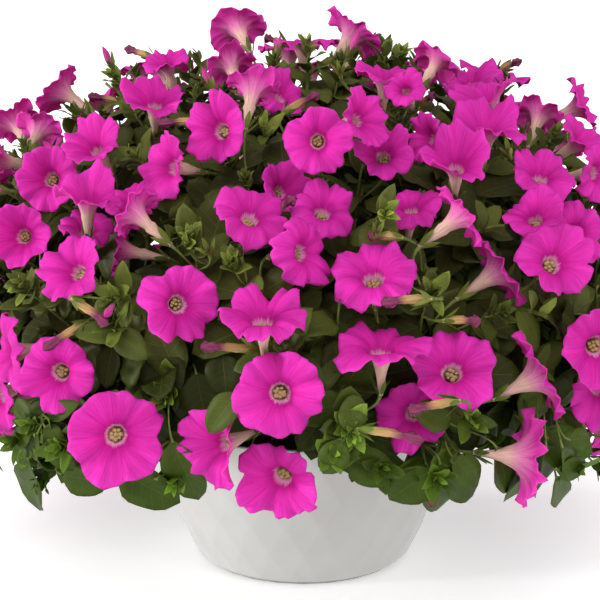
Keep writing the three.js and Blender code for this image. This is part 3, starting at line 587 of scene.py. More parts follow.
def branch(tip, way, nodes):
    """A shoot that leaves the nearest stem and ends at a tip, pointing a given way."""
    root = tip - way * SHOOT_LENGTH - outward(tip) * 20
    root = nodes[np.linalg.norm(nodes - root, axis=1).argmin()]
    reach = np.linalg.norm(tip - root)
    return bezier((root, root + (tip - root) * 0.3 + UP * 4, tip - way * 0.4 * reach, tip), SHOOT_RINGS)


def lay_side_shoots(stems):
    """Shoots that branch off the stems: first those that stand out, whose number is returned as well, then
    those that fill the mound."""
    draw = stream(5)
    centres = np.array([f["at"] for f in flowers])
    nodes = np.vstack([line[BRANCHING] for line in stems])
    seen = [seen_point(x, y, -10) for x, y in SEEN_SHOOTS]
    shoots = [branch(tip, unit(outward(tip) + UP * 0.4), nodes) for tip in seen]
    shoots = [line for line in shoots if not hits_flower(line[SHOOT_END])]
    standing_out = len(shoots)
    tips_so_far = [line[-1] for line in stems] + seen
    for p in spiral(SIDE_SHOOTS, LOWEST_FLOWER):
        sink, lean, turn = next(draw), next(draw), next(draw)
        if not clear_of(p, tips_so_far, SHOOT_SPACING) or hangs_low(p, EDGE_MARGIN) or in_hollow(p):
            continue
        out = outward(p)
        covered = np.linalg.norm(centres - p, axis=1).min() < COVERED_WITHIN
        tip = p - out * ((26 + 22 * sink) if covered else 14 * sink)
        way = unit(out + UP * (0.5 * lean) + turned_about(np.cross(out, UP), out, ANY_TURN * turn) * 0.35)
        line = branch(tip, way, nodes)
        if not hits_flower(line[SHOOT_END]):
            shoots.append(line)
            tips_so_far.append(p)
    return shoots, standing_out


def framed(path):
    """For each point of a path, the way ahead and two ways square to it that turn as little as can be."""
    ahead = np.gradient(path, axis=0)
    ahead /= np.linalg.norm(ahead, axis=1)[:, None]
    side = np.cross(ahead[0], UP if abs(ahead[0][2]) < 0.9 else np.array([1.0, 0, 0]))
    sides = []
    for way in ahead:
        side = unit(side - way * (side @ way))
        sides.append(side)
    sides = np.array(sides)
    return ahead, sides, np.cross(ahead, sides)


def tube_places(path, radii, ring, turn):
    """The places of a ringed pattern's vertices when it is drawn along a path."""
    _, side, other = framed(path)
    reach = np.asarray(radii, float)[ring][:, None]
    return path[ring] + (side[ring] * np.cos(turn)[:, None] + other[ring] * np.sin(turn)[:, None]) * reach


def new_growth():
    """A bmesh for plant parts, whose vertices carry their age (0 old, 1 young) and a chance value."""
    bm = bmesh.new()
    bm.loops.layers.uv.new("along")
    bm.verts.layers.float.new("age")
    bm.verts.layers.float.new("chance")
    return bm


def grow(bm, pattern, places, age=0.0, chance=0.0, slot=0):
    """Adds a copy of a pattern's mesh with its vertices at the given places, in millimetres."""
    first_vertex, first_face = len(bm.verts), len(bm.faces)
    bm.from_mesh(pattern)
    bm.verts.ensure_lookup_table()
    bm.faces.ensure_lookup_table()
    ages, chances = bm.verts.layers.float["age"], bm.verts.layers.float["chance"]
    for v, place in zip(bm.verts[first_vertex:], places):
        v.co = place * MM
        v[ages], v[chances] = age, chance
    for face in bm.faces[first_face:]:
        face.material_index = slot


def grow_along(bm, pattern, path, radii, age, chance, slot=0):
    """Adds a copy of a ringed pattern, drawn along a path."""
    mesh, ring, turn = pattern
    grow(bm, mesh, tube_places(path, radii, ring, turn), age, chance, slot)


stems = [stem_line(tip) for tip in tips]
side_shoots, standing_out = lay_side_shoots(stems)
STEM_PATTERN = ringed_pattern("stem_pattern", 8, STEM_RINGS)
SHOOT_PATTERN = ringed_pattern("shoot_pattern", 6, SHOOT_RINGS)


def make_stems():
    bm = new_growth()
    for k, line in enumerate(stems):
        line = np.vstack([line[:1] - UP * STEM_SUNK, line[1:]])
        grow_along(bm, STEM_PATTERN, line, np.linspace(*STEM_RADII, STEM_RINGS), 0.4, k % 7 / 7)
    for k, line in enumerate(side_shoots):
        grow_along(bm, SHOOT_PATTERN, line, np.linspace(*SHOOT_RADII, SHOOT_RINGS), 0.8, k % 11 / 11)
    return bm


def attribute(material, name):
    return add_node(material, "ShaderNodeAttribute", attribute_name=name).outputs["Fac"]


def make_stem_skin():
    skin, shader = shader_of("stem_skin", {"Roughness": 0.7, "Specular IOR Level": 0.12})
    cloud = clouds(skin, object_place(skin), 150, 3)
    link(skin, ramp(skin, cloud, [(0.35, STEM_GREEN), (0.65, STEM_PALE)]), shader, "Base Color")
    bump(skin, shader, cloud, 0.3, 0.0005)
    return skin


stem_skin = make_stem_skin()
SPRAYS = [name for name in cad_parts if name.startswith("spray_")]
put_together("stems", make_stems(), [stem_skin], "plant", *SPRAYS)


# ---- Leaves ---------------------------------------------------------------------------------------
# Soft, oval, pointed leaves, folded a little along their rib. They are small, narrow and bright in
# the rosettes at the shoot tips, and larger, broader and darker further down and low on the mound,
# where a deeper green and painted shade darken them.

# Large leaves: pixel x, y of the foot, pixel x, y of the tip, how many pixels across the leaf is, and how
# many millimetres it sits behind the mound's surface.
LARGE_LEAVES = [
    (28, 458, 32, 518, 40, 0), (60, 474, 108, 486, 36, 6), (118, 470, 181, 508, 46, 6),
    (172, 440, 198, 507, 42, 12), (48, 436, 72, 474, 28, -6), (46, 418, 78, 402, 20, -8),
    (238, 392, 205, 434, 30, -14), (344, 440, 322, 476, 30, -16), (350, 434, 356, 392, 28, -16),
    (342, 456, 400, 480, 38, 6), (432, 468, 388, 504, 42, 0), (440, 462, 442, 519, 44, -4),
    (448, 470, 478, 500, 38, 10), (452, 456, 483, 489, 32, 0), (452, 424, 414, 406, 32, 0),
    (496, 446, 514, 498, 32, 8), (546, 446, 546, 502, 42, 0), (540, 452, 584, 446, 36, 12),
    (556, 470, 592, 466, 26, -8), (534, 462, 508, 510, 32, 6), (562, 446, 574, 482, 24, -10),
    (452, 448, 480, 424, 30, 40), (568, 440, 594, 438, 22, -12), (556, 476, 566, 512, 28, 4),
    (154, 342, 166, 404, 56, 34), (113, 344, 103, 390, 28, 28), (114, 330, 147, 359, 28, 4),
    (222, 352, 226, 398, 36, 36), (196, 372, 206, 424, 40, 40), (330, 320, 356, 366, 34, 30),
    (606, 296, 590, 344, 30, 30), (34, 428, 8, 446, 24, -10), (38, 432, 30, 462, 22, -12),
    (30, 420, 14, 398, 20, -10), (44, 426, 62, 446, 24, -8),
]
LEAF_SHADED = 14  # a large leaf that sits this deep gets painted shade: the old leaves' colour at its darkest
LOW_LEAVES_ROUND = 64
LEAF_ALONG = 8
LEAF_ACROSS = 4
LEAF_THICKNESS = 0.35
LEAF_FOLD = 0.22
LEAF_STALK = 0.06  # the share of a leaf's length that is its narrow foot
# How broad a leaf on a shoot is for its length, by how many millimetres it is from the shoot's tip.
BREADTHS = ([0, 12, 24, 50], [0.34, 0.40, 0.46, 0.56])
TUBE_POINTS = (10, 20, 30, 40)  # millimetres behind the face
TUBE_MARGIN = 9  # pixels
SECTORS = 8
INNER_LEAVES, LOWEST_INNER_LEAF = 760, math.radians(124)
LEAF_OLD = (0.043, 0.044, 0.009, 1)
LEAF_MIDDLE = (0.080, 0.092, 0.016, 1)
LEAF_YOUNG = (0.225, 0.280, 0.046, 1)
LOW_GREEN_AND_SHADE = (0.56, 0.86, 0.36, 1)  # the leaves low on the mound are a deeper green than those on top, and darker: painted shade
LEAF_VEIN = (0.21, 0.27, 0.05, 1)
LEAF_UNDER = (0.088, 0.114, 0.024, 1)


def leaf_pattern():
    """A flat leaf as a grid of faces, and for each vertex its share of the length and of the half width."""
    bm = bmesh.new()
    bm.loops.layers.uv.new("along")
    bmesh.ops.create_grid(bm, x_segments=LEAF_ALONG, y_segments=LEAF_ACROSS, size=0.5, calc_uvs=True)
    for end in (-0.5, 0.5):
        ends = [v for v in bm.verts if abs(v.co.x - end) < 1e-4]
        bmesh.ops.pointmerge(bm, verts=ends, merge_co=(end, 0, 0))
    along = np.array([v.co.x + 0.5 for v in bm.verts])
    across = np.array([v.co.y * 2 for v in bm.verts])
    return pattern_mesh("leaf_pattern", bm), along, across


LEAF_PATTERN = leaf_pattern()


def leaf_places(root, ahead, normal, length, width, droop, wave=0.0, twist=0.0):
    """The places of a leaf's vertices: an oval blade on a short stalk, folded along its rib."""
    _, along, across = LEAF_PATTERN
    side = unit(np.cross(normal, ahead))
    top = np.cross(ahead, side)
    blade = np.clip((along - LEAF_STALK) / (1 - LEAF_STALK), 0, 1)
    blunt = 0.78 if width < 0.45 * length else 0.62
    half = width / 2 * (0.05 * (along < 0.99) + np.sin(math.pi * blade**0.8) ** blunt)
    y = across * half
    waves = 0.10 * width * np.sin(along * 11 + np.sign(across) * 1.3) * np.abs(across) ** 2
    z = LEAF_FOLD * np.abs(y) - droop * length * along**2 + wave * waves + twist * y * along
    reach = along * length * (1 - 0.25 * abs(droop))
    return root + reach[:, None] * ahead + y[:, None] * side + z[:, None] * top


def tubes_in_sight():
    """Where the tubes of the flowers seen from the side or behind show: pixel x, y and distance."""
    seen = [f for f in flowers if f["faces"] @ AHEAD > -0.35 and not unseen(f["at"])]
    points = [f["at"] - f["faces"] * back for f in seen for back in TUBE_POINTS]
    return np.array([(*pixel_of(p), (p - EYE) @ AHEAD) for p in points])


TUBES_IN_SIGHT = tubes_in_sight()


def hides_tube(places):
    """True if a leaf would stand in front of a flower's tube that the picture shows."""
    (x, y), far = pixel_of(places), (places - EYE) @ AHEAD
    gap = np.hypot(x[:, None] - TUBES_IN_SIGHT[:, 0], y[:, None] - TUBES_IN_SIGHT[:, 1])
    return bool(((gap < TUBE_MARGIN) & (far[:, None] < TUBES_IN_SIGHT[:, 2])).any())


def sector_beds():
    """One bmesh for each sector of the mound, as seen from above."""
    return [new_growth() for _ in range(SECTORS)]


def sector_of(p):
    return int((math.atan2(p[1], p[0]) / math.tau % 1) * SECTORS)


def add_leaf(beds, leaf, age, chance, spare=False, **shape):
    """Adds a leaf, given as its root, its way, its normal, its length and its width. A spare one is left
    out where it would hide a flower or hang below the foliage's edge."""
    places = leaf_places(*leaf, **shape)
    tip = leaf[0] + leaf[1] * leaf[3]
    if spare and (hits_flower(places) or hides_tube(places) or hangs_low(tip)):
        return
    grow(beds[sector_of(places[0])], LEAF_PATTERN[0], places, age, chance)


# Leaves down a shoot: how far each is from the tip, in millimetres.
DOWN_THE_SHOOT = [1, 2, 3, 4, 5.2, 6.5, 8, 10, 12, 14.5, 17.5, 21, 25, 30, 35, 41, 48, 56, 65, 76, 89]
DOWN_THE_STEM = [*DOWN_THE_SHOOT, 104, 124, 147]
LONGEST_LEAF = 50
YOUNG_WITHIN = 62  # how far from the tip leaves turn old


def dress_shoot(beds, line, down, size, youth, seed):
    """Leaves spiral down a shoot from the rosette at its tip. They lean further out, grow longer and turn
    darker the further they are from it."""
    draw = stream(seed)
    lengths = np.r_[0, np.cumsum(np.linalg.norm(np.diff(line[::-1], axis=0), axis=1))]
    ahead, side, other = framed(line)
    ahead, side, other, back = ahead[::-1], side[::-1], other[::-1], line[::-1]
    start = next(draw) * ANY_TURN
    for k, far in enumerate(down):
        jitter, big, wide, bend, tint = (next(draw) for _ in range(5))
        if far > lengths[-1]:
            break
        at = min(np.searchsorted(lengths, far), len(back) - 1)
        root = np.array([np.interp(far, lengths, back[:, i]) for i in range(3)])
        turn = start + k * GOLDEN_ANGLE + 0.5 * jitter
        round_way = side[at] * math.cos(turn) + other[at] * math.sin(turn)
        lean = math.radians(min(82, 14 + 2.9 * k + 0.5 * far)) * (0.85 + 0.3 * bend)
        out = outward(root)
        way = unit(ahead[at] * math.cos(lean) + round_way * math.sin(lean) + out * 0.25)
        normal = unit(ahead[at] * math.sin(lean) - round_way * math.cos(lean) + out * 0.5 + UP * 0.2)
        normal = unit(normal - way * (normal @ way))
        length = min(9 + 0.8 * far, 22 + 0.36 * far, LONGEST_LEAF) * size * (0.8 + 0.4 * big)
        width = length * np.interp(far, *BREADTHS) * (0.9 + 0.25 * wide)
        age = max(0.0, 1 - far / YOUNG_WITHIN) * (0.7 + 0.3 * tint) * youth
        shape = {"droop": 0.05 + 0.22 * bend, "wave": wide, "twist": (jitter - 0.5) * 0.5}
        add_leaf(beds, (root, way, normal, length, width), age, tint, spare=True, **shape)


def size_at(p):
    """Leaves are larger low on the mound."""
    return 1.12 - 0.3 * np.clip((p[2] - 140) / 300, 0, 1)


leaf_stalks = []  # the foot and the way of each large leaf, whose stalk is made with the flowers' stalks


def add_large_leaf(beds, leaf, age, tint, **shape):
    add_leaf(beds, leaf, age, tint, **shape)
    leaf_stalks.append(leaf[:2])


def add_large_leaves(beds):
    """The large leaves that the picture shows, and a loose ring of them low on the sides it doesn't show."""
    draw = stream(29)
    for x0, y0, x1, y1, wide, deeper in LARGE_LEAVES:
        root, tip = seen_point(x0, y0, deeper), seen_point(x1, y1, deeper)
        normal = unit(outward(root) + UP * 0.35)
        leaf = (root, unit(tip - root), normal, np.linalg.norm(tip - root), width_at(root, wide))
        # A large leaf deep in a hollow gets painted shade: age 0 and the lowest brightness.
        age, tint = (0.3, next(stream(x0 + y0))) if deeper < LEAF_SHADED else (0.0, 0.05)
        add_large_leaf(beds, leaf, age, tint, droop=0.1, wave=0.4)
    for k in range(LOW_LEAVES_ROUND):
        turn, drop, size, lean = (next(draw) for _ in range(4))
        root = surface_point(math.tau * (k + 0.8 * turn) / LOW_LEAVES_ROUND, math.radians(90 + 22 * drop))
        if size < 0.2 or not unseen(root):
            continue
        aside = unit(np.cross(outward(root), UP))
        way = unit(outward(root) - UP * (0.2 + drop) + aside * (1.4 * lean - 0.7))
        normal = unit(outward(root) + UP * 0.35)
        length = (0.42 + 0.6 * size) * LEAF_LENGTH
        leaf = (root - way * 14, way, normal, length, 0.62 * length)
        add_large_leaf(beds, leaf, 0.15 + 0.3 * lean, size, droop=0.12, wave=0.5)


def add_inner_leaves(beds):
    """Older, darker leaves inside the mound, which close the gaps between the shoots."""
    draw = stream(71)
    for k, p in enumerate(spiral(INNER_LEAVES, LOWEST_INNER_LEAF)):
        turn, sink, lean, size, tint = (next(draw) for _ in range(5))
        if hangs_low(p, EDGE_MARGIN):
            continue
        out = outward(p)
        root = p - out * (34 + 40 * sink if k % 5 else 90 + 60 * sink)
        across = unit(np.cross(out, UP) + 1e-3)
        way = unit(turned_about(across, out, ANY_TURN * turn) + out * (0.2 + 0.5 * lean) - UP * 0.25)
        normal = unit(out + UP * 0.3 - way * ((out + UP * 0.3) @ way))
        length = (40 + 20 * size) * size_at(p)
        leaf = (root, way, normal, length, length * 0.6)
        add_leaf(beds, leaf, 0.1 * tint, tint, spare=True, droop=0.16, wave=tint)


def dress_plant():
    beds = sector_beds()
    for k, line in enumerate(stems):
        dress_shoot(beds, line, DOWN_THE_STEM, size_at(line[-1]) * 1.15, 1.0, 977 * k + 7)
    for k, line in enumerate(side_shoots):
        size, youth = (1.2, 0.8) if k < standing_out else (1, 0.55)
        dress_shoot(beds, line, DOWN_THE_SHOOT, size_at(line[-1]) * size, youth, 613 * k + 3)
    add_large_leaves(beds)
    add_inner_leaves(beds)
    return beds


def map_of(material):
    """The coordinates of a pattern's map: X and Y, each from 0 to 1."""
    return split(material, add_node(material, "ShaderNodeUVMap", uv_map="along").outputs["UV"])[:2]


def off_middle(material, value):
    return calculate(material, "ABSOLUTE", calculate(material, "SUBTRACT", value, 0.5))


def ridge(material, off, sharpness):
    """1 where `off` is 0, falling to 0 as it grows."""
    return calculate(material, "MULTIPLY_ADD", off, -sharpness, 1.0, clamp=True)


def vein_lines(material):
    """1 on a leaf's rib, 0.5 on its side veins and 0 between them."""
    along, across = map_of(material)
    off_rib = off_middle(material, across)
    slant = calculate(material, "MULTIPLY", off_rib, 2.6)
    phase = calculate(material, "SUBTRACT", calculate(material, "MULTIPLY", along, 6.5), slant)
    side = ridge(material, off_middle(material, calculate(material, "FRACT", phase)), 15.0)
    side = calculate(material, "MULTIPLY", side, 0.5)
    return calculate(material, "MAXIMUM", ridge(material, off_rib, 46.0), side)


def brighten(material, colour, value):
    return add_node(material, "ShaderNodeHueSaturation", {"Color": colour, "Value": value}).outputs["Color"]


def see_through(material, shader, colour, share):
    """Lets some light through a thin leaf or petal."""
    through = add_node(material, "ShaderNodeBsdfTranslucent", {"Color": colour})
    mixed = add_node(material, "ShaderNodeMixShader", {0: share, 1: shader.outputs[0], 2: through.outputs[0]})
    output = next(n for n in material.node_tree.nodes if n.type == "OUTPUT_MATERIAL")
    material.node_tree.links.new(mixed.outputs[0], output.inputs["Surface"])


def make_leaf_skin(name, under):
    skin, shader = shader_of(name, {"Roughness": 0.65 if under else 0.5, "Specular IOR Level": 0.12})
    place = object_place(skin)
    mottle = calculate(skin, "MULTIPLY_ADD", clouds(skin, place, 70, 4), 0.5, -0.25)
    age = calculate(skin, "ADD", attribute(skin, "age"), mottle, clamp=True)
    colour = ramp(skin, age, [(0.0, LEAF_OLD), (0.48, LEAF_MIDDLE), (1.0, LEAF_YOUNG)])
    veins = vein_lines(skin)
    colour = blend_colours(skin, calculate(skin, "MULTIPLY", veins, 0.26), colour, LEAF_VEIN)
    if under:
        colour = blend_colours(skin, 0.45, colour, LEAF_UNDER)
    # Below 0.3 m the colour is multiplied towards the low-mound tint, fully by 0.175 m: a deeper green, and
    # darker as painted shade.
    low = calculate(skin, "MULTIPLY_ADD", split(skin, place)["Z"], -8.0, 2.4, clamp=True)
    colour = blend_colours(skin, low, colour, LOW_GREEN_AND_SHADE, "MULTIPLY")
    colour = brighten(skin, colour, calculate(skin, "MULTIPLY_ADD", attribute(skin, "chance"), 0.66, 0.64))
    link(skin, colour, shader, "Base Color")
    relief = calculate(skin, "SUBTRACT", calculate(skin, "MULTIPLY", clouds(skin, place, 420, 2), 0.5), veins)
    bump(skin, shader, relief, -0.45 if under else 0.45, 0.0006)
    see_through(skin, shader, colour, 0.16)
    return skin


leaf_skins = [make_leaf_skin("leaf_upper_side", False), make_leaf_skin("leaf_under_side", True)]


def thicken(piece, thickness):
    """Gives a sheet its thickness, downwards, with the piece's second material underneath."""
    wall = piece.modifiers.new("thickness", "SOLIDIFY")
    wall.thickness = thickness * MM
    wall.offset = -1
    wall.material_offset = 1
    wall.material_offset_rim = 0


for number, bed in enumerate(dress_plant()):
    leaves = put_together(f"leaves_{number + 1}", bed, leaf_skins, "plant")
    thicken(leaves, LEAF_THICKNESS)


# ---- Open flowers ---------------------------------------------------------------------------------
# Trumpets of thin, satiny petal: a narrow tube, a pale streaked throat, and a limb of five rounded
# lobes with waved edges. Each stands on a thin stalk, in a calyx of five narrow sepals.
LIMB_SEGMENTS = 70
# The trumpet's rings: radius in millimetres, or as a share of the limb's radius, and millimetres ahead.
TUBE_RINGS = [(1.8, -38), (2.1, -33.5), (2.5, -29), (3.1, -25), (3.8, -21.2), (4.6, -17.8)]
LIMB_RINGS = [
    (0.180, -14.6), (0.220, -11.2), (0.270, -7.8), (0.340, -4.7), (0.44, -2.0), (0.57, -0.3), (0.71, 0.5),
    (0.84, 0.4), (0.93, -0.1), (1.0, -0.9),
]
RINGS = len(TUBE_RINGS) + len(LIMB_RINGS)
PETAL_THICKNESS = 0.4
# As shares of the limb's radius: how deep the edge is cut between two lobes and notched at each lobe's tip,
# how much lobes differ in length, the waves along the edge, the pleats between and on the lobes, the
# ruffles, and how far a lobe lifts or droops.
LOBE_CUT, LOBE_NOTCH, LOBE_GROWTH = 0.205, 0.055, 0.14
EDGE_WAVE, EDGE_RIPPLE = 0.017, 0.011
PLEAT_BETWEEN, PLEAT_ON = 0.150, 0.070
BROAD_RUFFLE, FINE_RUFFLE = 0.08, 0.06
LOBE_LIFT = 0.7
TUBE_LENGTH = 38
SEPAL_LENGTH = 15
SEPALS_APART = 1.2566  # radians, a fifth of a turn
STALK_RADIUS = 0.9
PETAL = (0.620, 0.022, 0.358, 1)
PETAL_EDGE = (0.665, 0.038, 0.430, 1)
PETAL_DEEP = (0.440, 0.006, 0.215, 1)
PETAL_NEAR = (0.560, 0.014, 0.300, 1)
PETAL_BACK = (0.780, 0.060, 0.470, 1)
PETAL_FOOT = (0.780, 0.260, 0.500, 1)
THROAT = (0.860, 0.420, 0.660, 1)
THROAT_DEEP = (0.640, 0.430, 0.210, 1)
TUBE_PALE = (0.760, 0.500, 0.430, 1)
TUBE_VEIN = (0.340, 0.190, 0.090, 1)
THROAT_VEIN = (0.380, 0.060, 0.260, 1)
PETAL_VEIN = (0.400, 0.004, 0.200, 1)
ANTHER = (0.34, 0.24, 0.11, 1)
ANTHER_DARK = (0.24, 0.16, 0.06, 1)
ANTHERS = 8
ANTHERS_ACROSS = 3.7
ANTHERS_DEEP = 13.0
ANTHER_SIZE = np.array([1.7, 1.5, 1.7])
# A stalk's thickness from the flower down to the shoot, as shares of STALK_RADIUS.
STALK_TAPER = np.array([2.0, 1.35, 1.1, 1, 0.95, 0.95, 1, 1.05, 1.2])
ROUND = 6.28  # radians; turns and phases drawn by chance are shares of this

FLOWER_PATTERN = ringed_pattern("flower_pattern", LIMB_SEGMENTS, RINGS)
STALK_PATTERN = ringed_pattern("stalk_pattern", 6, len(STALK_TAPER))


def trumpet_places(flower, draw):
    """The places of a flower's vertices, each flower with its own lobes, waves and bend."""
    _, ring, turn = FLOWER_PATTERN
    radius = flower["across"] / 2
    out = np.array([r for r, _ in TUBE_RINGS] + [r * radius for r, _ in LIMB_RINGS])[ring]
    high = np.array([z for _, z in TUBE_RINGS + LIMB_RINGS])[ring]
    limb = np.clip((out / radius - 0.2) / 0.8, 0, 1)
    lobe = np.abs(np.cos(2.5 * turn))  # 1 along the middle of each lobe and 0 between two
    number = np.floor(((turn / math.tau) * 5 + 0.5) % 5).astype(int)
    lifts = np.array([next(draw) - 0.45 for _ in range(5)])[number]
    grows = np.array([next(draw) - 0.5 for _ in range(5)])[number]
    cuts = np.array([0.45 + 1.2 * next(draw) for _ in range(5)])[(turn / math.tau * 5).astype(int) % 5]
    phases = [next(draw) * ROUND for _ in range(6)]
    edge = 1.04 - LOBE_CUT * cuts * (1 - lobe**0.75) - LOBE_NOTCH * lobe**14 + LOBE_GROWTH * grows * lobe
    edge = edge + EDGE_WAVE * (np.sin(11 * turn + phases[0]) + np.sin(17 * turn + phases[1]) * lobe)
    edge = edge + EDGE_RIPPLE * np.sin(26 * turn + phases[2]) * lobe
    out = out * (1 + (edge - 1) * limb**2)
    pleat = PLEAT_BETWEEN * cuts * (1 - lobe) ** 1.1 + PLEAT_ON * lobe**10
    ruffle = BROAD_RUFFLE * np.sin(9 * turn + phases[2]) + FINE_RUFFLE * np.sin(17 * turn + phases[3])
    flatter = np.interp(abs(flower["faces"] @ AHEAD), [0.25, 0.5], [0.3, 1])  # edge-on, a limb looks thin
    relief = limb**1.4 * LOBE_LIFT * lifts * lobe**0.9 - pleat * limb**0.9
    high = high + radius * (relief * flatter + limb**3 * ruffle)
    # The whole limb is a little cupped, and folded along one line.
    cup, fold, fold_way = next(draw), next(draw), next(draw) * ROUND
    folds = (cup - 0.40) * 0.36 + (fold - 0.4) * 0.85 * np.cos(turn - fold_way) ** 2
    high = high + radius * limb**2 * flatter * folds
    turn = turn + 0.11 * np.sin(turn + phases[4]) + 0.06 * np.sin(2 * turn + phases[5])
    spin = next(draw) * ROUND
    flat = np.stack([np.cos(turn + spin) * out, np.sin(turn + spin) * out, high], axis=1)
    return flat @ turned_to(flower["faces"]).T + flower["at"]


def add_calyx(bm, base, ahead, length, spread, draw, slot):
    """Five narrow sepals round the foot of a flower or bud."""
    side = unit(np.cross(ahead, UP + 0.013))
    start = next(draw) * ROUND
    for k in range(5):
        around = turned_about(side, ahead, start + k * SEPALS_APART)
        lean = spread * (0.7 + 0.6 * next(draw))
        way = unit(ahead * math.cos(lean) + around * math.sin(lean))
        normal = unit(ahead * math.sin(lean) - around * math.cos(lean))
        size = length * (0.8 + 0.35 * next(draw))
        places = leaf_places(base + around * 1.6, way, normal, size, size * 0.26, -0.1 + 0.3 * next(draw))
        grow(bm, LEAF_PATTERN[0], places, 0.62, next(draw), slot)


# The points of stems and side shoots that stalks can grow from.
shoot_points = np.vstack([line[20:] for line in stems] + [line[6:] for line in side_shoots])


def add_stalk(bm, base, ahead, slot, back=22, sunk=12, thick=1.0):
    """A thin stalk that curves from the foot of a flower or leaf down to the nearest shoot behind it."""
    wanted = base - ahead * back - outward(base) * sunk
    root = shoot_points[np.linalg.norm(shoot_points - wanted, axis=1).argmin()]
    reach = min(np.linalg.norm(root - base), 2.5 * back)
    bends = (base + ahead * 2, base - ahead * 0.4 * reach, root + (base - root) * 0.3, root)
    path, radii = bezier(bends, len(STALK_TAPER)), STALK_RADIUS * thick * STALK_TAPER
    grow_along(bm, STALK_PATTERN, path, radii, 0.75, 0.5, slot)


def knob_pattern():
    bm = bmesh.new()
    bm.loops.layers.uv.new("along")
    bmesh.ops.create_icosphere(bm, subdivisions=2, radius=1)
    shape = np.array([v.co for v in bm.verts])
    return pattern_mesh("knob_pattern", bm), shape


KNOB_PATTERN = knob_pattern()


def add_anthers(bm, flower, draw, slot):
    """The anthers and the stigma, a small cluster just inside the throat."""
    turned, size = turned_to(flower["faces"]), flower["across"] / FLOWER_ACROSS
    for k in range(ANTHERS):
        angle = k * 0.9 + 0.4 * next(draw)
        away = (ANTHERS_ACROSS if k else 0.0) * (0.65 + 0.35 * next(draw)) * size
        middle = np.array([math.cos(angle) * away, math.sin(angle) * away, 1.5 * next(draw) - ANTHERS_DEEP])
        places = KNOB_PATTERN[1] * ANTHER_SIZE * (0.75 + 0.5 * next(draw)) * size + middle
        grow(bm, KNOB_PATTERN[0], places @ turned.T + flower["at"], 0, next(draw), slot)


CALYX, STALK, ANTHER_KNOB = 0, 1, 2  # the material slots of the piece of calyxes and stalks


def make_flower_beds():
    """The petals, sector by sector like the leaves, and one bmesh for the stalks, calyxes and anthers."""
    petals, greens = sector_beds(), new_growth()
    for k, flower in enumerate(flowers):
        draw = stream(k * 7919 + 101)
        base = flower["at"] - flower["faces"] * TUBE_LENGTH
        bed = petals[sector_of(flower["at"])]
        grow(bed, FLOWER_PATTERN[0], trumpet_places(flower, draw), 0, next(draw), 0)
        add_calyx(greens, base, flower["faces"], SEPAL_LENGTH, 0.42, draw, CALYX)
        add_anthers(greens, flower, draw, ANTHER_KNOB)
        add_stalk(greens, base, flower["faces"], STALK)
    for root, way in leaf_stalks:
        add_stalk(greens, root, way, STALK, back=12, sunk=34, thick=0.6)
    return petals, greens


def round_trip(material, reach, stretch):
    """Coordinates that run round a trumpet without a seam, and along it."""
    across, along = map_of(material)
    turn = calculate(material, "MULTIPLY", across, math.tau)
    level = calculate(material, "MULTIPLY_ADD", along, stretch, attribute(material, "chance"))
    x = calculate(material, "MULTIPLY", calculate(material, "COSINE", turn), reach)
    y = calculate(material, "MULTIPLY", calculate(material, "SINE", turn), reach)
    place = add_node(material, "ShaderNodeCombineXYZ", {"X": x, "Y": y, "Z": level})
    return place.outputs["Vector"], along


# Colours along a trumpet, from its foot at 0 to its edge at 1: the petal between its veins, the veins, and
# how strongly the veins show.
BACK_PLAIN = [(0.0, TUBE_PALE), (0.42, TUBE_PALE), (0.58, PETAL_FOOT), (0.78, PETAL_BACK), (1.0, PETAL_BACK)]
BACK_VEINS = [(0.0, TUBE_VEIN), (0.42, TUBE_VEIN), (0.58, PETAL_DEEP)]
BACK_STRENGTH = [(0.0, 0.5), (0.5, 0.5), (1.0, 0.2)]
FACE_PLAIN = [
    (0.0, THROAT_DEEP), (0.38, THROAT_DEEP), (0.43, THROAT), (0.465, THROAT), (0.53, PETAL_NEAR),
    (0.72, PETAL), (1.0, PETAL_EDGE),
]
FACE_VEINS = [(0.0, TUBE_VEIN), (0.40, THROAT_VEIN), (0.53, PETAL_DEEP), (1.0, PETAL_VEIN)]
FACE_STRENGTH = [(0.0, 0.3), (0.6, 0.42), (1.0, 0.16)]
MAIN_VEIN_STRENGTH = [(0.45, 0), (0.6, 1), (0.8, 1), (1.0, 0)]


def grey_ramp(material, value, stops):
    return ramp(material, value, [(place, (grey, grey, grey, 1)) for place, grey in stops])


def main_veins(material):
    """1 along the ten main veins of a limb, one up each lobe and one between each two."""
    tenth = calculate(material, "FRACT", calculate(material, "MULTIPLY_ADD", map_of(material)[0], 10.0, 0.5))
    return ridge(material, off_middle(material, tenth), 22.0)


def petal_colour(material, along, veins, plain_stops, vein_stops, strength):
    """Plain petal with its fine veins and its main ones."""
    plain, dark = ramp(material, along, plain_stops), ramp(material, along, vein_stops)
    share = calculate(material, "MULTIPLY", veins, grey_ramp(material, along, strength))
    streaked = blend_colours(material, share, plain, dark)
    fades = grey_ramp(material, along, MAIN_VEIN_STRENGTH)
    main = calculate(material, "MULTIPLY", calculate(material, "MULTIPLY", main_veins(material), fades), 0.6)
    return blend_colours(material, main, streaked, PETAL_VEIN)


def make_petal(name, *colours):
    petal, shader = shader_of(name, {"Roughness": 0.55, "Specular IOR Level": 0.10})
    place, along = round_trip(petal, 9.0, 2.2)
    broad, fine = clouds(petal, place, 0.22, 1), clouds(petal, place, 1.5, 2)
    uneven = calculate(petal, "MULTIPLY_ADD", calculate(petal, "ADD", broad, fine), 0.12, -0.12)
    veins = ridge(petal, off_middle(petal, fine), 16.0)
    colour = petal_colour(petal, calculate(petal, "ADD", along, uneven), veins, *colours)
    colour = brighten(petal, colour, calculate(petal, "MULTIPLY_ADD", broad, 0.60, 0.70))
    link(petal, colour, shader, "Base Color")
    bump(petal, shader, calculate(petal, "SUBTRACT", fine, veins), 0.35, 0.0007)
    see_through(petal, shader, colour, 0.34)
    return petal


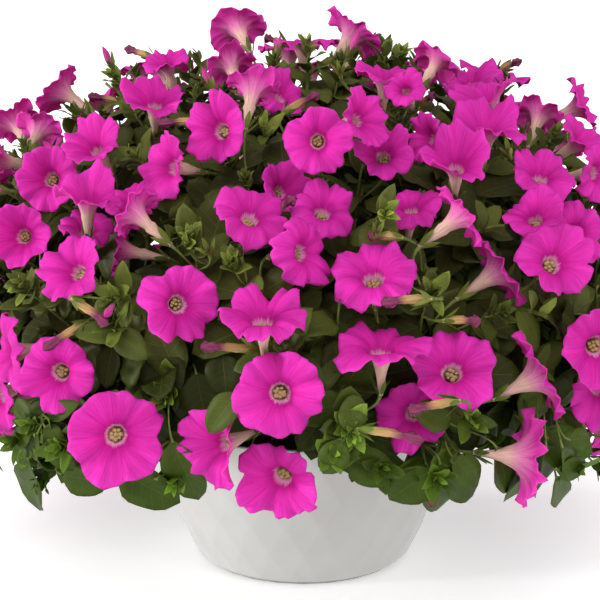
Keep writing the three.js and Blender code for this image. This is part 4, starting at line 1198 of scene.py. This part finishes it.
def make_anther():
    anther, shader = shader_of("anther", {"Roughness": 0.8})
    grain = clouds(anther, object_place(anther), 900, 2)
    link(anther, ramp(anther, grain, [(0.35, ANTHER_DARK), (0.6, ANTHER)]), shader, "Base Color")
    return anther


petal_skins = [
    make_petal("petal_back", BACK_PLAIN, BACK_VEINS, BACK_STRENGTH),
    make_petal("petal_face", FACE_PLAIN, FACE_VEINS, FACE_STRENGTH),
]
petal_beds, flower_greens = make_flower_beds()
for number, bed in enumerate(petal_beds):
    petals = put_together(f"flowers_{number + 1}", bed, petal_skins, "plant")
    thicken(petals, PETAL_THICKNESS)
green_skins = [leaf_skins[0], stem_skin, make_anther()]
put_together("calyxes_and_stalks", flower_greens, green_skins, "plant")


# ---- Buds and spent flowers -----------------------------------------------------------------------
# Pleated, pointed buds stand among the shoot tips. Spent flowers hang as limp, orange-brown tubes
# that end in a shrivelled purple club.

# Spent flowers: pixel x, y of the club, the way it points as degrees round from the viewer and up, its
# length in millimetres, and how far behind the mound's surface it sits. Buds: pixel x, y and how far.
SPENT_FLOWERS = [
    (158, 118, -80, 6, 36, 6), (296, 192, 55, 40, 34, -6), (320, 88, 70, 34, 36, -10),
    (376, 92, -20, 60, 36, -24), (434, 90, 20, 30, 30, -10), (368, 232, -70, 12, 26, -10),
    (381, 297, -80, 4, 34, -38), (108, 320, 70, -25, 30, -20), (43, 344, -60, -20, 36, -22),
    (200, 340, -75, 14, 40, -20), (408, 405, -75, 0, 36, -34), (424, 433, 80, 0, 44, -34),
    (431, 503, -30, -62, 28, -14), (481, 317, 80, 8, 26, -14), (264, 34, -70, 25, 24, 0),
]
BUDS = [(210, 255, -12), (241, 257, -8), (510, 155, -10), (375, 237, -10), (340, 75, -8)]
SPENT_TUBE = (0.38, 0.21, 0.09, 1)
SPENT_PALE = (0.40, 0.34, 0.11, 1)
SPENT_CLUB = (0.17, 0.030, 0.080, 1)
BUD_FOOT = (0.30, 0.36, 0.12, 1)
BUD_PINK = (0.48, 0.09, 0.25, 1)
# Ring by ring, from the foot to the end: a spent flower's radius and how crumpled it is, and a bud's
# radius where it is BUD_LENGTH long.
SPENT_RADII = [1.5, 1.9, 2.3, 2.7, 2.9, 2.8, 2.4, 1.9, 2.2, 3.0, 2.6, 0.9]
PUCKERS = np.array([0, 0.08, 0.12, 0.14, 0.16, 0.2, 0.28, 0.4, 0.5, 0.55, 0.6, 0.5])
BUD_RADII = np.array([1.2, 1.7, 1.9, 2.0, 2.1, 2.3, 2.6, 2.8, 2.6, 2.0, 1.1, 0.2])
BUD_LENGTH = 26
ALONG_BUD = np.linspace(0, 1, len(BUD_RADII))[:, None]
SPENT_PATTERN = ringed_pattern("spent_pattern", 18, len(SPENT_RADII))
SPENT, BUD, SMALL_CALYX, SMALL_STALK = 0, 1, 2, 3  # the material slots of this piece
SPENT_CALYX = (14, 0.5)  # its length, and how far it spreads in radians
WILTED_SHARE, BUDDING_SHARE = 0.1, 0.1  # how many of the shoots carry one
BUDS_ABOVE = 230  # the height from which shoots carry buds


def add_spent(bm, tip, ahead, length, draw, slot):
    """A limp spent flower that ends at a tip; its foot is returned."""
    _, ring, turn = SPENT_PATTERN
    base = tip - ahead * length
    path = base + ahead * length * ALONG_BUD - UP * ALONG_BUD**2 * 0.12 * length
    places = tube_places(path, SPENT_RADII, ring, turn)
    phase = next(draw) * ROUND
    pucker = PUCKERS[ring]
    middle = path[ring] + np.cross(ahead, UP) * (np.sin(ring * 1.9 + phase) * pucker * 1.8)[:, None]
    wrinkle = 1 + pucker * (0.8 * np.sin(5 * turn + phase + 0.5 * ring) + 0.7 * np.sin(3 * turn + ring * 2.3))
    places = middle + (places - path[ring]) * wrinkle[:, None]
    grow(bm, SPENT_PATTERN[0], places, 0, next(draw), slot)
    return base


def add_bud(bm, base, ahead, length, draw, slot):
    """A pleated bud with a slight twist."""
    _, ring, turn = SPENT_PATTERN
    path = base + ahead * length * ALONG_BUD
    places = tube_places(path, BUD_RADII * length / BUD_LENGTH, ring, turn + ring * 0.12)
    middle = path[ring]
    pleat = 1 + 0.1 * np.sin(5 * turn) * (ring / (len(BUD_RADII) - 1))
    grow(bm, SPENT_PATTERN[0], middle + (places - middle) * pleat[:, None], 0, next(draw), slot)


def add_foot(bm, base, ahead, length, spread, draw):
    """The calyx and the stalk of a bud or a spent flower."""
    add_calyx(bm, base, ahead, length, spread, draw, SMALL_CALYX)
    add_stalk(bm, base, ahead, SMALL_STALK)


def make_buds_and_spent():
    """The spent flowers and buds that the picture shows, then those drawn by chance for the other shoots."""
    bm = new_growth()
    for k, (x, y, turned, up, length, deeper) in enumerate(SPENT_FLOWERS):
        draw = stream(k * 31 + 17)
        ahead = heading(turned, up)
        base = add_spent(bm, seen_point(x, y, deeper), ahead, length, draw, SPENT)
        add_foot(bm, base, ahead, *SPENT_CALYX, draw)
    draw = stream(83)
    for x, y, deeper in BUDS:
        base, ahead = seen_point(x, y, deeper), heading(60 * next(draw) - 30, 45)
        add_bud(bm, base, ahead, 9, draw, SPENT)
        add_foot(bm, base, ahead, 13, 0.35, draw)
    for line in side_shoots + stems:
        wilts, buds, turn, size = (next(draw) for _ in range(4))
        tip, way = line[-3], unit(line[-1] - line[-4])
        aside = turned_about(unit(np.cross(way, UP + 0.01)), way, turn * ROUND)
        if wilts < WILTED_SHARE and unseen(tip):
            ahead = unit(aside + outward(tip) * 0.8)
            club = tip + outward(tip) * 34
            base = add_spent(bm, club, ahead, 30 + 8 * size, stream(int(size * 9999)), SPENT)
            add_foot(bm, base, ahead, *SPENT_CALYX, draw)
        elif buds < BUDDING_SHARE and tip[2] > BUDS_ABOVE:
            ahead = unit(way + aside * 0.6 + outward(tip) * 0.5)
            base = tip + ahead * 12
            if not hits_flower(base + ahead * np.linspace(0, BUD_LENGTH, 7)[:, None]):
                add_bud(bm, base, ahead, 15 + 13 * size, draw, BUD)
                add_foot(bm, base, ahead, 11 + 4 * size, 0.3, draw)
    return bm


def make_withered(name, stops):
    skin, shader = shader_of(name, {"Roughness": 0.8, "Specular IOR Level": 0.2})
    place, along = round_trip(skin, 4.0, 2.0)
    folds = clouds(skin, place, 1.3, 3)
    # The brightness follows the same noise as the folds' bump: painted shade in the creases and a painted
    # highlight on the ridges.
    colour = brighten(skin, ramp(skin, along, stops), calculate(skin, "MULTIPLY_ADD", folds, 1.1, 0.45))
    link(skin, colour, shader, "Base Color")
    bump(skin, shader, folds, 0.8, 0.001)
    return skin


SPENT_COLOURS = [(0.0, SPENT_PALE), (0.5, SPENT_TUBE), (0.68, SPENT_CLUB), (1.0, SPENT_CLUB)]
BUD_COLOURS = [(0.0, BUD_FOOT), (0.35, BUD_PINK), (1.0, PETAL_DEEP)]
withered_skins = [make_withered("spent_petal", SPENT_COLOURS), make_withered("bud_petal", BUD_COLOURS)]
small_skins = [*withered_skins, leaf_skins[0], stem_skin]
put_together("buds_and_spent_flowers", make_buds_and_spent(), small_skins, "plant")


# ---- Floor, light and camera ----------------------------------------------------------------------
# A plain white floor that runs to the horizon, soft light from all round, a large lamp high in front to
# shape the petals, and two low ones at the sides to draw the pot's diamonds. The camera stands where the
# photograph was taken from.
FLOOR_HALF_SIDE = 60  # metres
FLOOR_GAP = 0.0002  # metres under the pot's foot
FLOOR_FINISH = {
    "Base Color": (0.93, 0.93, 0.93, 1), "Roughness": 0.9,
    "Emission Color": (1, 1, 1, 1), "Emission Strength": 0.41,
}
SKY_STRENGTH = 0.55
# Lamps: name, degrees round from the camera and up, strength, and degrees across.
LAMPS = [("key", -10, 44, 2.3, 45), ("low_left", -78, 5, 2.9, 10), ("low_right", 52, 14, 0.8, 20)]
SENSOR_WIDTH = 36


def make_floor():
    mesh = bpy.data.meshes.new("floor")
    bm = bmesh.new()
    bmesh.ops.create_grid(bm, x_segments=1, y_segments=1, size=FLOOR_HALF_SIDE)
    bmesh.ops.translate(bm, vec=(0, 0, -FLOOR_GAP), verts=bm.verts)
    bm.to_mesh(mesh)
    bm.free()
    mesh.materials.append(shader_of("white_floor", FLOOR_FINISH)[0])
    floor = bpy.data.objects.new("floor", mesh)
    bpy.context.scene.collection.objects.link(floor)


def add_sun(name, turned, up, strength, softness):
    lamp = bpy.data.lights.new(name, "SUN")
    lamp.energy, lamp.angle = strength, math.radians(softness)
    holder = bpy.data.objects.new(name, lamp)
    bpy.context.scene.collection.objects.link(holder)
    holder.rotation_euler = (math.radians(90 - up), 0, math.radians(turned))


make_floor()
sky = bpy.data.worlds.new("studio")
sky.use_nodes = True
sky.node_tree.nodes["Background"].inputs["Color"].default_value = (1, 1, 1, 1)
sky.node_tree.nodes["Background"].inputs["Strength"].default_value = SKY_STRENGTH
bpy.context.scene.world = sky
for lamp in LAMPS:
    add_sun(*lamp)

camera = bpy.data.objects.new("camera", bpy.data.cameras.new("camera"))
bpy.context.scene.collection.objects.link(camera)
camera.location = [x * MM for x in EYE]
camera.rotation_euler = (math.pi / 2 + EYE_PITCH, 0, 0)
camera.data.sensor_width = SENSOR_WIDTH
camera.data.lens = SENSOR_WIDTH * LENS_PIXELS / PICTURE_SIDE
camera.data.clip_end = 200
bpy.context.scene.camera = camera
bpy.context.scene.view_settings.view_transform = "Standard"
